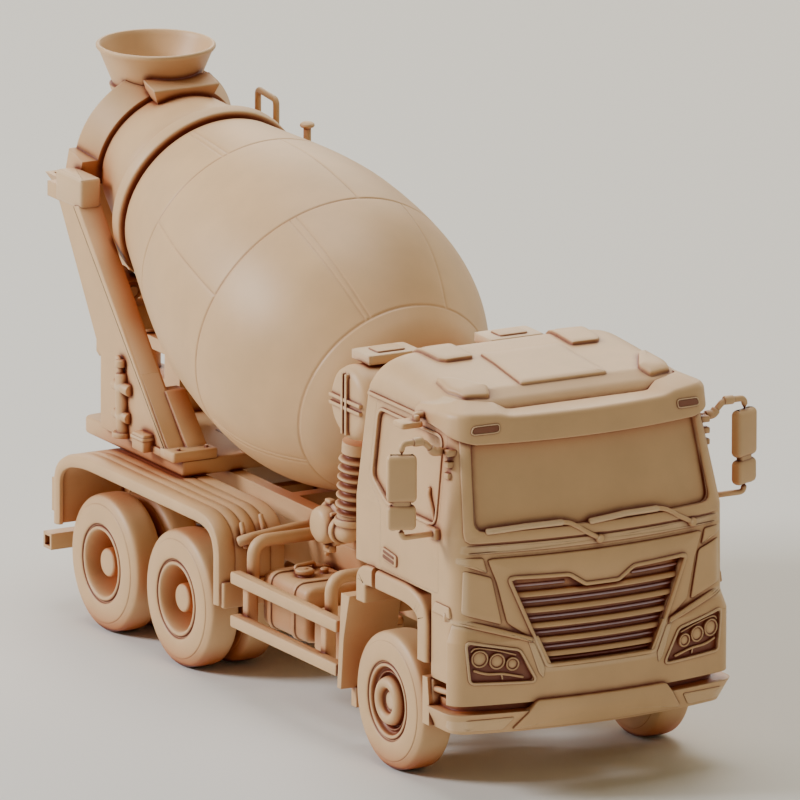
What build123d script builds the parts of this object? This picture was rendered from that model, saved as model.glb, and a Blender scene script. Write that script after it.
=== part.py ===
# Concrete mixer truck, a one-colour display model at 1:50.
# Millimetres, +Z up, the truck faces -Y, its right side is -X.
# The origin is at the bottom centre of the model's box.
from build123d import *
import os
from math import cos, radians, sin

os.makedirs("parts", exist_ok=True)

# Driving dimensions. Places along the truck are measured from the front axle.
front_overhang = 25.1
rear_reach = 131.2
wheel_base = 69.8
bogie_gap = 2.6
body_half = 24.8
fit_gap = 0.15
pin_play = 0.05

tyre_r = 11.0
bogie_spread = 2 * tyre_r + bogie_gap
bogie_rear = wheel_base + bogie_spread
bead_r = 6.0
front_tyre_w = 6.6
rear_tyre_w = 6.2
twin_gap = 1.0
front_face = 24.6
rear_face = 23.8
stub_r = 1.5

king_x = 16.2
king_r = 0.8
arm_len = 4.5
steer_deg = 16.0

rail_x = 9.0
rail_w = 1.6
rail_low = 17.6
rail_top = 24.4
sub_top = 27.7
rail_front = -14.0
rail_rear = bogie_rear + 17.6

base_hole_r = 0.8
base_hole_deep = 6.0
base_hole_front = -12.8
base_hole_rear = 110.8
boss_low_z = 16.0

deck_top = 30.4
deck_half = 17.5
deck_front = 79.0
deck_rear = 112.2

cab_low = 31.3
belt_z = 41.6
roof_z = 58.4
cab_half = 24.0
roof_half = 21.9
cab_front = -20.3
roof_front = -16.2
cab_back = 10.9
front_bulge = 3.5
cab_wall = 1.8

drum_y = 40.0
drum_z = 46.2
drum_tilt = 16.9
drum_wall = 1.3
drum_mid_t = 25.0
drum_mid_r = 23.4
DRUM_SEAMS = (2.4, 24.9, 50.1)
ring_t = 66.2
ring_r = 16.3
ring_w = 2.4
neck_t = 79.6
neck_r = 11.8
hood_front_r = 12.5
hood_r = 14.0
hood_w = 4.6
roller_r = 2.3
roller_w = 3.2
roller_deg = 40.0

hopper_y = 120.3
hopper_z = 79.2
hopper_top = 87.0
hopper_rim_r = 9.5
hopper_base_r = 6.3

front_axle_y = (front_overhang - rear_reach) / 2
axle_1_y = front_axle_y + wheel_base
axle_2_y = axle_1_y + bogie_spread
SIDES = (("right", -1), ("left", 1))


def at(y):
    """Distance behind the front axle as a place in the model."""
    return front_axle_y + y


def save(builder, label):
    builder.part.label = label
    export_step(builder.part, f"parts/{label}.step")


def wheel_plane(y):
    """Plane through a wheel's axis: local x outwards along X, local y upwards."""
    return Plane(origin=(0, y, tyre_r), x_dir=(1, 0, 0), z_dir=(0, -1, 0))


def side_plane(x):
    """Plane seen from the truck's left: local x to the rear, local y upwards."""
    return Plane(origin=(x, front_axle_y, 0), x_dir=(0, 1, 0), z_dir=(1, 0, 0))


# ---------------------------------------------------------------- wheels
def tyre_profile(side, face, width, plane):
    """Half section of a tyre with rounded shoulders, outer face at `face`."""
    inner = face - width
    with BuildSketch(plane) as section:
        with BuildLine():
            Polyline(
                (side * (inner + 0.5), bead_r),
                (side * inner, bead_r + 2.0),
                (side * (inner + 0.3), tyre_r - 1.4),
                (side * (inner + 1.5), tyre_r),
                (side * (face - 1.5), tyre_r),
                (side * (face - 0.3), tyre_r - 1.4),
                (side * face, bead_r + 2.0),
                (side * (face - 0.5), bead_r),
                close=True,
            )
        make_face()
        levels = vertices().group_by(Axis.Y)
        fillet(levels[-1] + levels[-2], radius=0.8)
    return section.sketch


def rim_profile(points, plane):
    """Half section of a rim with its disc and bored hub."""
    with BuildSketch(plane) as section:
        with BuildLine():
            Polyline(*points, close=True)
        make_face()
    return section.sketch


for name, side in SIDES:
    plane = wheel_plane(front_axle_y)
    inner = front_face - front_tyre_w + 0.5
    bore_r = stub_r + pin_play
    with BuildPart() as front_wheel:
        add(tyre_profile(side, front_face, front_tyre_w, plane))
        add(rim_profile([(side * x, r) for x, r in (
            (inner, bead_r), (front_face - 0.5, bead_r), (front_face - 0.2, bead_r - 0.8),
            (front_face - 1.6, bead_r - 1.2), (front_face - 1.8, 4.1), (front_face + 0.1, 3.7),
            (front_face + 0.4, 2.9), (front_face + 0.1, 2.1), (front_face - 0.7, 1.8),
            (front_face - 0.7, bore_r), (front_face - 3.0, bore_r), (front_face - 3.0, bead_r - 0.9),
            (inner, bead_r - 0.6),
        )], plane))
        revolve(axis=Axis((0, front_axle_y, tyre_r), (1, 0, 0)))
    save(front_wheel, f"front_wheel_{name}")

    for number, axle_y in (("1", axle_1_y), ("2", axle_2_y)):
        plane = wheel_plane(axle_y)
        twin_face = rear_face - rear_tyre_w - twin_gap
        inner = twin_face - rear_tyre_w + 0.5
        hub_face = rear_face - 2.6
        disc_x = rear_face - rear_tyre_w + 0.6
        with BuildPart() as rear_wheels:
            add(tyre_profile(side, rear_face, rear_tyre_w, plane))
            add(tyre_profile(side, twin_face, rear_tyre_w, plane))
            add(rim_profile([(side * x, r) for x, r in (
                (inner, bead_r), (rear_face - 0.5, bead_r), (rear_face - 0.2, bead_r - 0.8),
                (disc_x + 1.2, bead_r - 1.3), (disc_x + 1.0, 2.9), (hub_face, 2.6),
                (hub_face, bore_r), (disc_x - 4.0, bore_r), (disc_x - 4.0, 3.0), (disc_x, 3.2),
                (disc_x, bead_r - 1.1), (inner, bead_r - 0.7),
            )], plane))
            revolve(axis=Axis((0, axle_y, tyre_r), (1, 0, 0)))
        save(rear_wheels, f"rear_wheels_{number}_{name}")

# ---------------------------------------------------------------- axles
ear_low = 7.4
ear_h = 1.2
boss_low = ear_low + ear_h + fit_gap
boss_top = 2 * tyre_r - boss_low - 0.6
boss_r = 1.9
beam_low = 9.0
beam_top = 12.0
rod_z = ear_low + ear_h + 0.25

with BuildPart() as front_axle_beam:
    with Locations((0, front_axle_y, (beam_low + beam_top) / 2)):
        Box(2 * king_x, 3.2, beam_top - beam_low)
    for side in (-1, 1):
        with BuildSketch(Plane.XY.offset(boss_low)):
            with Locations((side * king_x, front_axle_y)):
                Circle(boss_r)
        extrude(amount=boss_top - boss_low)
    for side in (-1, 1):
        with BuildSketch(Plane.XY.offset(boss_low - 1)):
            with Locations((side * king_x, front_axle_y)):
                Circle(king_r + pin_play)
        extrude(amount=boss_top - boss_low + 2, mode=Mode.SUBTRACT)
save(front_axle_beam, "front_axle_beam")

ear_top = boss_top + fit_gap
for name, side in SIDES:
    upright = king_x + boss_r + 0.2
    with BuildPart() as knuckle:
        for low in (ear_low, ear_top):
            with BuildSketch(Plane.XY.offset(low)):
                with Locations((side * king_x, front_axle_y)):
                    Circle(boss_r)
                with Locations((side * (king_x + upright + 1.2) / 2, front_axle_y)):
                    Rectangle(upright + 1.2 - king_x, 2.6)
            extrude(amount=ear_h)
        with BuildSketch(Plane.XY.offset(ear_low)):
            with Locations((side * (upright + 0.6), front_axle_y)):
                Rectangle(1.2, 2.6)
        extrude(amount=ear_top + ear_h - ear_low)
        with BuildSketch(Plane.XY.offset(ear_low)):
            with Locations((side * king_x, front_axle_y)):
                Circle(king_r)
        extrude(amount=ear_top + ear_h - ear_low)
        with BuildSketch(Plane.XY.offset(ear_low)):
            with Locations((side * king_x, at(arm_len / 2))):
                Rectangle(1.8, arm_len)
            with Locations((side * king_x, at(arm_len))):
                Circle(0.9)
        extrude(amount=ear_h)
        with BuildSketch(Plane.XY.offset(ear_low)):
            with Locations((side * king_x, at(arm_len))):
                Circle(0.5)
        extrude(amount=ear_h + 1.4)
        with BuildSketch(Plane(origin=(side * upright, front_axle_y, tyre_r), z_dir=(side, 0, 0))):
            Circle(stub_r)
        extrude(amount=front_face - 0.8 - upright)
    save(knuckle, f"steering_knuckle_{name}")

with BuildPart() as track_rod:
    with BuildSketch(Plane.XY.offset(rod_z)):
        with Locations((0, at(arm_len))):
            Rectangle(2 * king_x, 1.2)
        with Locations((-king_x, at(arm_len)), (king_x, at(arm_len))):
            Rectangle(2.6, 3.0)
        fillet(vertices().group_by(Axis.X)[0] + vertices().group_by(Axis.X)[-1], radius=0.6)
        with Locations((-king_x, at(arm_len)), (king_x, at(arm_len))):
            SlotOverall(2.0, 1.3, rotation=90, mode=Mode.SUBTRACT)
    extrude(amount=1.0)
save(track_rod, "track_rod")

with BuildPart() as rear_axles:
    for axle_y in (axle_1_y, axle_2_y):
        with BuildSketch(Plane(origin=(-rear_face + 2.8, axle_y, tyre_r), z_dir=(1, 0, 0))):
            Circle(stub_r)
        extrude(amount=2 * (rear_face - 2.8))
        with BuildSketch(Plane(origin=(-rail_x, axle_y, tyre_r), z_dir=(1, 0, 0))):
            Circle(2.2)
        extrude(amount=2 * rail_x)
        with Locations((0, axle_y, tyre_r)):
            Sphere(4.6)
        with BuildSketch(Plane(origin=(0, axle_y - 7.2, tyre_r + 0.8), z_dir=(0, 1, 0))):
            Circle(1.9)
        extrude(amount=5.0)
save(rear_axles, "rear_axles")

bogie_y = (axle_1_y + axle_2_y) / 2
leaf_x = 7.4
with BuildPart() as bogie_springs:
    for side in (-1, 1):
        with BuildSketch(side_plane(side * leaf_x - 1.3)):
            with BuildLine():
                Polyline(
                    (wheel_base - 2.6, tyre_r + 2.2),
                    (wheel_base + 2.6, tyre_r + 2.2),
                    (wheel_base + bogie_spread / 2, tyre_r + 3.4),
                    (wheel_base + bogie_spread - 2.6, tyre_r + 2.2),
                    (wheel_base + bogie_spread + 2.6, tyre_r + 2.2),
                    (wheel_base + bogie_spread + 2.6, tyre_r + 3.8),
                    (wheel_base + bogie_spread / 2 + 3.0, rail_low),
                    (wheel_base + bogie_spread / 2 - 3.0, rail_low),
                    (wheel_base - 2.6, tyre_r + 3.8),
                    close=True,
                )
            make_face()
        extrude(amount=2.6)
save(bogie_springs, "bogie_springs")

with BuildPart() as front_springs:
    for side in (-1, 1):
        with BuildSketch(side_plane(side * leaf_x - 1.3)):
            with BuildLine():
                Polyline(
                    (-11.0, rail_low),
                    (-11.0, rail_low - 2.0),
                    (-3.0, beam_top),
                    (3.0, beam_top),
                    (11.0, rail_low - 2.0),
                    (11.0, rail_low),
                    (9.0, rail_low),
                    (9.0, rail_low - 1.0),
                    (2.0, beam_top + 2.4),
                    (-2.0, beam_top + 2.4),
                    (-9.0, rail_low - 1.0),
                    (-9.0, rail_low),
                    close=True,
                )
            make_face()
        extrude(amount=2.6)
save(front_springs, "front_springs")

# ---------------------------------------------------------------- chassis
with BuildPart() as chassis_frame:
    for side in (-1, 1):
        with BuildSketch(Plane(origin=(0, at(rail_front), 0), x_dir=(1, 0, 0), z_dir=(0, 1, 0))):
            with Locations((side * (rail_x - rail_w / 2), -(rail_low + rail_top) / 2)):
                Rectangle(rail_w, rail_top - rail_low)
        extrude(amount=rail_rear - rail_front)
    for cross_y in (base_hole_front, 12.6, 46.0, 82.1, base_hole_rear):
        with Locations((0, at(cross_y), (rail_low + rail_top) / 2)):
            Box(2 * rail_x, 2.4, rail_top - rail_low - 1.6)
    for boss_y in (base_hole_front, base_hole_rear):
        with BuildSketch(Plane.XY.offset(boss_low_z)):
            with Locations((0, at(boss_y))):
                Circle(2.0)
        extrude(amount=rail_top - 1.0 - boss_low_z)
        with BuildSketch(Plane.XY.offset(boss_low_z)):
            with Locations((0, at(boss_y))):
                Circle(base_hole_r)
        extrude(amount=base_hole_deep, mode=Mode.SUBTRACT)
save(chassis_frame, "chassis_frame")

with BuildPart() as mixer_subframe:
    for side in (-1, 1):
        with Locations((side * (rail_x - 1.2), at((16.0 + deck_rear) / 2), (rail_top + sub_top) / 2)):
            Box(2.4, deck_rear - 16.0, sub_top - rail_top)
    for cross_y in (17.2, 40.0, 62.0, 108.0):
        with Locations((0, at(cross_y), (rail_top + sub_top) / 2)):
            Box(2 * rail_x - 2.4, 2.4, sub_top - rail_top)
save(mixer_subframe, "mixer_subframe")

with BuildPart() as mixer_deck:
    with BuildSketch(Plane.XY.offset(sub_top)):
        with Locations((0, at((deck_front + deck_rear) / 2))):
            Rectangle(2 * deck_half, deck_rear - deck_front)
        fillet(vertices().group_by(Axis.Y)[-1], radius=1.6)
    extrude(amount=deck_top - sub_top)
    fillet(edges().group_by(Axis.Z)[-1], radius=0.5)
save(mixer_deck, "mixer_deck")

bar_z = 10.4
bar_side = 2.6
with BuildPart() as underrun_bar:
    with Locations((0, at(bogie_rear + 18.6), bar_z)):
        Box(46.4, bar_side, bar_side)
        Box(48.0, bar_side - 1.0, bar_side - 1.0, mode=Mode.SUBTRACT)
    for side in (-1, 1):
        with Locations((side * (rail_x - 1.0), at(bogie_rear + 18.5), (bar_z + bar_side / 2 + rail_top) / 2)):
            Box(2.0, 1.8, rail_top - bar_z - bar_side / 2)
save(underrun_bar, "underrun_bar")

lamp_y = bogie_rear + 19.8
with BuildPart() as tail_lamp_panel:
    with Locations((0, at(lamp_y + 0.6), 17.2)):
        Box(42.0, 1.6, 5.4)
    with GridLocations(32.0, 0, 2, 1):
        with Locations((0, at(lamp_y + 1.7), 17.2)):
            Box(7.0, 0.9, 2.8)
save(tail_lamp_panel, "tail_lamp_panel")

tow_r = 0.9
with BuildPart() as tow_coupling:
    with Locations((0, at(lamp_y + 2.4), 17.2)):
        Box(5.0, 2.0, 4.0)
    with Locations((0, at(lamp_y + 4.6), 17.2 - 1.4), (0, at(lamp_y + 4.6), 17.2 + 1.4)):
        Box(3.6, 2.8, 1.2)
    with BuildSketch(Plane.XY.offset(14.0)):
        with Locations((0, at(lamp_y + 4.6))):
            Circle(tow_r)
    extrude(amount=8.0, mode=Mode.SUBTRACT)
save(tow_coupling, "tow_coupling")

with BuildPart() as engine_gearbox:
    with Locations((0, at(2.0), 21.6)):
        Box(9.0, 18.0, 9.6)
    with Locations((0, at(19.9), 15.8)):
        Box(6.4, 17.8, 4.6)
save(engine_gearbox, "engine_gearbox")

with BuildPart() as propshaft:
    with BuildSketch(Plane(origin=(0, at(28.8) + 1.0, 15.8), z_dir=(0, 1, 0))):
        Circle(1.1)
    with BuildSketch(Plane(origin=(0, axle_1_y - 8.2, tyre_r + 0.8), z_dir=(0, 1, 0))):
        Circle(1.1)
    loft()
    for joint_y, joint_z in ((at(28.8), 15.8), (axle_1_y - 8.2, tyre_r + 0.8)):
        with BuildSketch(Plane(origin=(0, joint_y, joint_z), z_dir=(0, 1, 0))):
            Circle(1.6)
        extrude(amount=1.0)
save(propshaft, "propshaft")

# ---------------------------------------------------------------- mudguards
guard_in = 13.0
guard_top = 27.6
guard_wall = 1.2
guard_front = wheel_base - tyre_r - 4.8
guard_rear = bogie_rear + tyre_r + 3.2

def arch(front, front_low, rear, rear_low, top, front_r, rear_r, wall):
    """Section of a bent mudguard sheet, in the plane of its side."""
    with BuildSketch(mode=Mode.PRIVATE) as section:
        with BuildLine():
            FilletPolyline(
                (front, front_low), (front, top), (rear, top), (rear, rear_low), radius=[front_r, rear_r]
            )
            FilletPolyline(
                (front + wall, front_low),
                (front + wall, top - wall),
                (rear - wall, top - wall),
                (rear - wall, rear_low),
                radius=[front_r - wall, rear_r - wall],
            )
            Line((front, front_low), (front + wall, front_low))
            Line((rear, rear_low), (rear - wall, rear_low))
        make_face()
    return section.sketch


with BuildPart() as rear_mudguards:
    with BuildSketch(side_plane(guard_in)):
        add(arch(guard_front, 13.6, guard_rear, 14.6, guard_top, 8.0, 13.0, guard_wall))
    extrude(amount=body_half - guard_in)
    with BuildSketch(side_plane(body_half - 0.8)):
        add(arch(guard_front, 13.6, guard_rear, 14.6, guard_top, 8.0, 13.0, guard_wall + 0.8))
    extrude(amount=0.8)
    mirror(about=Plane.YZ)
save(rear_mudguards, "rear_mudguards")


# ---------------------------------------------------------------- sides of the frame
guard_bar = 2.0
bar_front = 15.9
bar_rear = guard_front - 3.8
bar_low_z = 11.2
bar_high_z = 18.2
pipe_x = 21.6
with BuildPart() as side_guards:
    for low in (bar_low_z, bar_high_z):
        with Locations((body_half - guard_bar / 2, at((bar_front + bar_rear) / 2), low + guard_bar / 2)):
            Box(guard_bar, bar_rear - bar_front, guard_bar)
    for post_y in (23.2, 48.4):
        with Locations((body_half - guard_bar - 0.9, at(post_y), (bar_low_z + bar_high_z + guard_bar) / 2)):
            Box(2.0, 1.8, bar_high_z + guard_bar - bar_low_z)
        with BuildLine(Plane(origin=(0, at(post_y), 0), x_dir=(1, 0, 0), z_dir=(0, -1, 0))) as pipe:
            FilletPolyline(
                (rail_x, 25.0), (pipe_x, 25.0), (pipe_x, bar_high_z + 1.0), radius=2.6
            )
        with BuildSketch(Plane(origin=pipe.line @ 0, z_dir=pipe.line % 0)):
            Circle(1.1)
        sweep(path=pipe.line)
    mirror(about=Plane.YZ)
save(side_guards, "side_guards")

tank_front = 34.0
tank_rear = 48.2
tank_low = 11.4
tank_top = 20.4
tank_out = 20.2
with BuildPart() as fuel_tank:
    with BuildSketch(Plane(origin=(0, at(tank_front), 0), x_dir=(1, 0, 0), z_dir=(0, -1, 0))):
        with Locations((-(rail_x + tank_out) / 2, (tank_low + tank_top) / 2)):
            RectangleRounded(tank_out - rail_x, tank_top - tank_low, 1.8)
    extrude(amount=-(tank_rear - tank_front))
    with Locations((-16.4, at(43.0), tank_top + 0.4)):
        Cylinder(1.5, 1.2)
    for strap_y in (37.4, 45.8):
        with BuildSketch(Plane(origin=(0, at(strap_y), 0), x_dir=(1, 0, 0), z_dir=(0, -1, 0))):
            with Locations((-(rail_x + tank_out) / 2, (tank_low + tank_top) / 2)):
                RectangleRounded(tank_out - rail_x, tank_top - tank_low + 0.6, 2.0)
        extrude(amount=-1.2)
save(fuel_tank, "fuel_tank")

with BuildPart() as battery_box:
    with Locations(((rail_x + tank_out) / 2, at(34.4), 15.9)):
        Box(tank_out - rail_x, 20.0, 9.0)
    fillet(edges().filter_by(Axis.Y).group_by(Axis.X)[-1], radius=1.0)
    with Locations((tank_out + 0.3, at(34.4), 15.9)):
        Box(0.8, 17.0, 6.8)
    with Locations((-(rail_x + 19.4) / 2, at(27.6), 14.2)):
        Box(19.4 - rail_x, 10.8, 6.8)
save(battery_box, "battery_box")

cleaner_z = 29.4
cleaner_y = 37.8
with BuildPart() as air_cleaner:
    with BuildSketch(Plane(origin=(-rail_x, at(cleaner_y), cleaner_z), z_dir=(-1, 0, 0))):
        Circle(2.9)
    extrude(amount=6.0)
    with BuildSketch(Plane(origin=(-13.4, at(cleaner_y), cleaner_z), z_dir=(-1, 0, 0))):
        Circle(3.6)
    extrude(amount=1.0)
    with BuildSketch(Plane(origin=(-14.4, at(cleaner_y), cleaner_z), z_dir=(-1, 0, 0))):
        Circle(3.1)
    extrude(amount=2.0)
    fillet(edges().group_by(Axis.X)[0], radius=0.9)
save(air_cleaner, "air_cleaner")

bellows_y = 29.8
bellows_x = -14.0
with BuildPart() as intake_hose:
    with BuildSketch(Plane(origin=(bellows_x, at(bellows_y), 0), x_dir=(1, 0, 0), z_dir=(0, -1, 0))):
        with BuildLine():
            Polyline(
                (0, 27.8), (2.1, 27.8), (2.1, 32.6), (2.8, 33.0), (2.8, 34.0), (2.1, 34.4), (2.1, 35.2),
                (2.8, 35.6), (2.8, 36.6), (2.1, 37.0), (2.1, 37.8), (2.8, 38.2), (2.8, 39.2), (2.1, 39.6),
                (2.1, 40.4), (2.8, 40.8), (2.8, 41.8), (2.1, 42.2), (2.1, 45.4), (0, 45.4), close=True,
            )
        make_face()
    revolve(axis=Axis((bellows_x, at(bellows_y), 0), (0, 0, 1)))
    with BuildSketch(Plane(origin=(bellows_x, at(bellows_y), cleaner_z), z_dir=(0, 1, 0))):
        Circle(1.4)
    extrude(amount=cleaner_y - 3.6 - bellows_y)
save(intake_hose, "intake_hose")

# ---------------------------------------------------------------- water tank and drum drive
water_y = 24.2
water_z = 52.4
water_r = 6.0
water_half = 18.6
slab_z = 58.6
slab_x = 10.9
slab_w = 9.2
with BuildPart() as water_tank:
    with BuildSketch(side_plane(-water_half)):
        with Locations((water_y, water_z)):
            Circle(water_r)
    extrude(amount=2 * water_half)
    fillet(edges().filter_by(GeomType.CIRCLE), radius=1.6)
save(water_tank, "water_tank")

with BuildPart() as tank_stand:
    for side in (-1, 1):
        with Locations((side * (rail_x - 1.4), at(water_y), (sub_top + water_z - water_r) / 2 - 0.15)):
            Box(2.0, 3.0, water_z - water_r - sub_top - 0.3)
        with BuildSketch(side_plane(side * (rail_x - 1.4) - 1.0)):
            with Locations((water_y, water_z)):
                Circle(water_r + 0.8)
                Circle(water_r, mode=Mode.SUBTRACT)
        extrude(amount=2.0)
    with Locations((0, at(water_y), 34.0)):
        Box(2 * rail_x - 4.8, 2.0, 2.4)
    for side in (-1, 1):
        with Locations((side * slab_x, at(water_y + 1.0), slab_z + 0.7)):
            Box(slab_w, 5.6, 1.4)
save(tank_stand, "tank_stand")

drum_axis = Vector(0, cos(radians(drum_tilt)), sin(radians(drum_tilt)))
drum_foot = Vector(0, at(drum_y), drum_z)
turn_axis = Axis(drum_foot, drum_axis)


def drum_plane(t=0.0):
    """Plane across the drum's axis, `t` behind its datum, local x to the left."""
    return Plane(origin=drum_foot + drum_axis * t, x_dir=(1, 0, 0), z_dir=drum_axis)


def length_plane():
    """Plane along the drum's axis: local x along the axis, local y outwards and up."""
    return Plane(origin=drum_foot, x_dir=drum_axis, z_dir=(1, 0, 0))


head_t = -6.0
drum_shaft_r = 2.4
drive_gap = 1.6


def drum_outline(inset):
    """Half section of the drum, `inset` inside its outer skin, down to the axis."""
    with BuildSketch(length_plane()) as section:
        with BuildLine():
            Line((head_t + inset, 0), (head_t + inset, 8.2 - inset))
            ThreePointArc((head_t + inset, 8.2 - inset), (-2.4 + inset / 2, 12.9 - inset), (2.4, 16.8 - inset))
            ThreePointArc((2.4, 16.8 - inset), (13.0, 21.7 - inset), (drum_mid_t, drum_mid_r - inset))
            ThreePointArc((drum_mid_t, drum_mid_r - inset), (38.6, 22.4 - inset), (50.1, 19.8 - inset))
            Polyline(
                (50.1, 19.8 - inset),
                (ring_t, ring_r - 1.4 - inset),
                (neck_t, neck_r - inset),
                (neck_t, 0),
                (head_t + inset, 0),
            )
        make_face()
    return section.sketch


with BuildPart() as drum:
    add(drum_outline(0))
    revolve(axis=turn_axis)
    add(drum_outline(drum_wall))
    revolve(axis=turn_axis, mode=Mode.SUBTRACT)
    with BuildSketch(drum_plane(ring_t - ring_w / 2)):
        Circle(ring_r)
        Circle(ring_r - 2.0, mode=Mode.SUBTRACT)
    extrude(amount=ring_w)
    with BuildSketch(drum_plane(head_t - drive_gap)):
        Circle(5.2)
    extrude(amount=drive_gap)
    with BuildSketch(drum_plane(head_t - drive_gap - 4.0)):
        Circle(drum_shaft_r)
    extrude(amount=4.0)
    for seam_t in DRUM_SEAMS:
        split(bisect_by=drum_plane(seam_t), keep=Keep.BOTH)
save(drum, "drum")

drive_r = 4.4
with BuildPart() as drum_drive:
    with BuildSketch(drum_plane(head_t - drive_gap - 0.4)):
        Circle(drive_r)
        Circle(drum_shaft_r + pin_play, mode=Mode.SUBTRACT)
    extrude(amount=-4.0)
    with BuildSketch(drum_plane(head_t - drive_gap - 4.4)):
        Circle(drive_r)
    extrude(amount=-1.2)
    with BuildSketch(drum_plane(head_t - drive_gap - 5.6)):
        Circle(2.6)
    extrude(amount=-3.0)
save(drum_drive, "drum_drive")

with BuildPart() as front_pedestal:
    with BuildSketch(drum_plane(head_t - drive_gap - 3.6)):
        with BuildLine():
            Polyline((-9.0, 17.6), (-6.6, -1.0), (6.6, -1.0), (9.0, 17.6), close=True)
        make_face()
        Circle(drive_r, mode=Mode.SUBTRACT)
    extrude(amount=2.4)
    with Locations((0, at(drum_y - 5.2), sub_top + 0.8)):
        Box(2 * rail_x, 9.6, 1.6)
    split(bisect_by=Plane.XY.offset(sub_top), keep=Keep.TOP)
save(front_pedestal, "front_pedestal")

# ---------------------------------------------------------------- rear supports
roller_reach = ring_r + roller_r + fit_gap
for name, side in SIDES:
    roller_x = side * roller_reach * sin(radians(roller_deg))
    roller_y = roller_reach * cos(radians(roller_deg))
    with BuildPart() as drum_roller:
        with BuildSketch(drum_plane(ring_t - roller_w / 2)):
            with Locations((roller_x, roller_y)):
                Circle(roller_r)
                Circle(1.0 + pin_play, mode=Mode.SUBTRACT)
        extrude(amount=roller_w)
    save(drum_roller, f"drum_roller_{name}")

leg_in = 15.3
leg_out = 18.6
leg_w = leg_out - leg_in
LEG = (
    (111.8, 64.6),
    (118.2, 64.6),
    (104.0, 42.0),
    (104.0, deck_top),
    (81.4, deck_top),
    (81.4, deck_top + 1.0),
)
with BuildPart() as rear_pedestal:
    for side in (-1, 1):
        with BuildSketch(side_plane(side * (leg_in + leg_out) / 2 - leg_w / 2)):
            with BuildLine():
                Polyline(*LEG, close=True)
            make_face()
        extrude(amount=leg_w)
        with Locations((side * (leg_in + leg_out) / 2, at(114.6), 66.6)):
            Box(leg_w, 8.0, 4.6)
        roller_x = side * roller_reach * sin(radians(roller_deg))
        roller_y = roller_reach * cos(radians(roller_deg))
        with BuildSketch(drum_plane(ring_t + roller_w / 2 + fit_gap)):
            with Locations((roller_x, roller_y)):
                Circle(2.0)
            with Locations((roller_x, roller_y + 3.4)):
                Rectangle(3.6, 6.8)
        extrude(amount=1.6)
        with BuildSketch(drum_plane(ring_t - roller_w / 2 - 0.3)):
            with Locations((roller_x, roller_y)):
                Circle(1.0)
        extrude(amount=roller_w + 1.0)
    with Locations((0, at(108.4), 46.6)):
        Box(2 * leg_in, 4.4, 4.0)
    for side in (-1, 1):
        with Locations((side * (leg_in - 0.4), at(107.0), 46.6)):
            Box(1.4, 6.8, 4.0)
save(rear_pedestal, "rear_pedestal")

hood_t = neck_t + 0.4
hood_wall = 1.2
hopper_wall = 0.9


def hopper_cone(inset):
    """Level sections of the hopper's funnel, `inset` inside its outer skin."""
    sections = []
    for z, r in ((hopper_z, hopper_base_r), (hopper_top, hopper_rim_r)):
        with BuildSketch(Plane.XY.offset(z)) as section:
            with Locations((0, at(hopper_y))):
                Circle(r - inset)
        sections.append(section.sketch)
    return sections


def hood_cone(inset):
    """Sections across the drum's axis of the flared hood, `inset` inside its outer skin."""
    sections = []
    for t, r in ((hood_t, hood_front_r), (hood_t + hood_w, hood_r)):
        with BuildSketch(drum_plane(t)) as section:
            Circle(r - inset)
        sections.append(section.sketch)
    return sections


with BuildPart() as drum_hood:
    loft(hood_cone(0.0))
    with BuildSketch(drum_plane(hood_t)):
        with Locations((0, 1.4)):
            Rectangle(2 * leg_in, 4.4)
    extrude(amount=hood_w)
    loft(hood_cone(hood_wall), mode=Mode.SUBTRACT)
    with BuildSketch(drum_plane(hood_t)):
        with Locations((0, 13.6)):
            Rectangle(2 * leg_in + 1.0, 20.0)
    extrude(amount=hood_w, mode=Mode.SUBTRACT)
    loft(hopper_cone(0.0), mode=Mode.SUBTRACT)
save(drum_hood, "drum_hood")

with BuildPart() as hood_body:
    loft(hood_cone(0.0))
    loft(hopper_cone(0.0), mode=Mode.SUBTRACT)

with BuildPart() as hopper:
    loft(hopper_cone(0.0))
    with Locations((0, at(113.5), 79.8)):
        Box(12.4, 4.2, 2.8)
    with BuildSketch(drum_plane(hood_t - 12.0)):
        Circle(hood_front_r)
    extrude(amount=12.0, mode=Mode.SUBTRACT)
    add(hood_body.part, mode=Mode.SUBTRACT)
    loft(hopper_cone(hopper_wall), mode=Mode.SUBTRACT)
save(hopper, "hopper")

# ---------------------------------------------------------------- discharge
chute_turn_y = 121.6
chute_turn_r = 1.6
trough_front = 120.6
trough_low = 50.0
trough_top = 66.0
trough_wall = 1.0
box_rear = 118.6
with BuildPart() as discharge_trough:
    for inset, mode in ((0.0, Mode.ADD), (trough_wall, Mode.SUBTRACT)):
        with BuildSketch(Plane.XY.offset(trough_top)):
            with Locations((0, at(trough_front + 4.0))):
                Rectangle(2 * leg_in - 2 * inset, 8.0 - 2 * inset)
        with BuildSketch(Plane.XY.offset(trough_low)):
            with Locations((0, at(trough_front + 2.8))):
                Rectangle(8.0 - 2 * inset, 5.6 - 2 * inset)
        loft(mode=mode)
    for side in (-1, 1):
        with Locations((side * (leg_in + 0.9), at(box_rear + 2.4), trough_top - 1.2)):
            Box(3.0, 4.8, 2.4)
save(discharge_trough, "discharge_trough")

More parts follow.
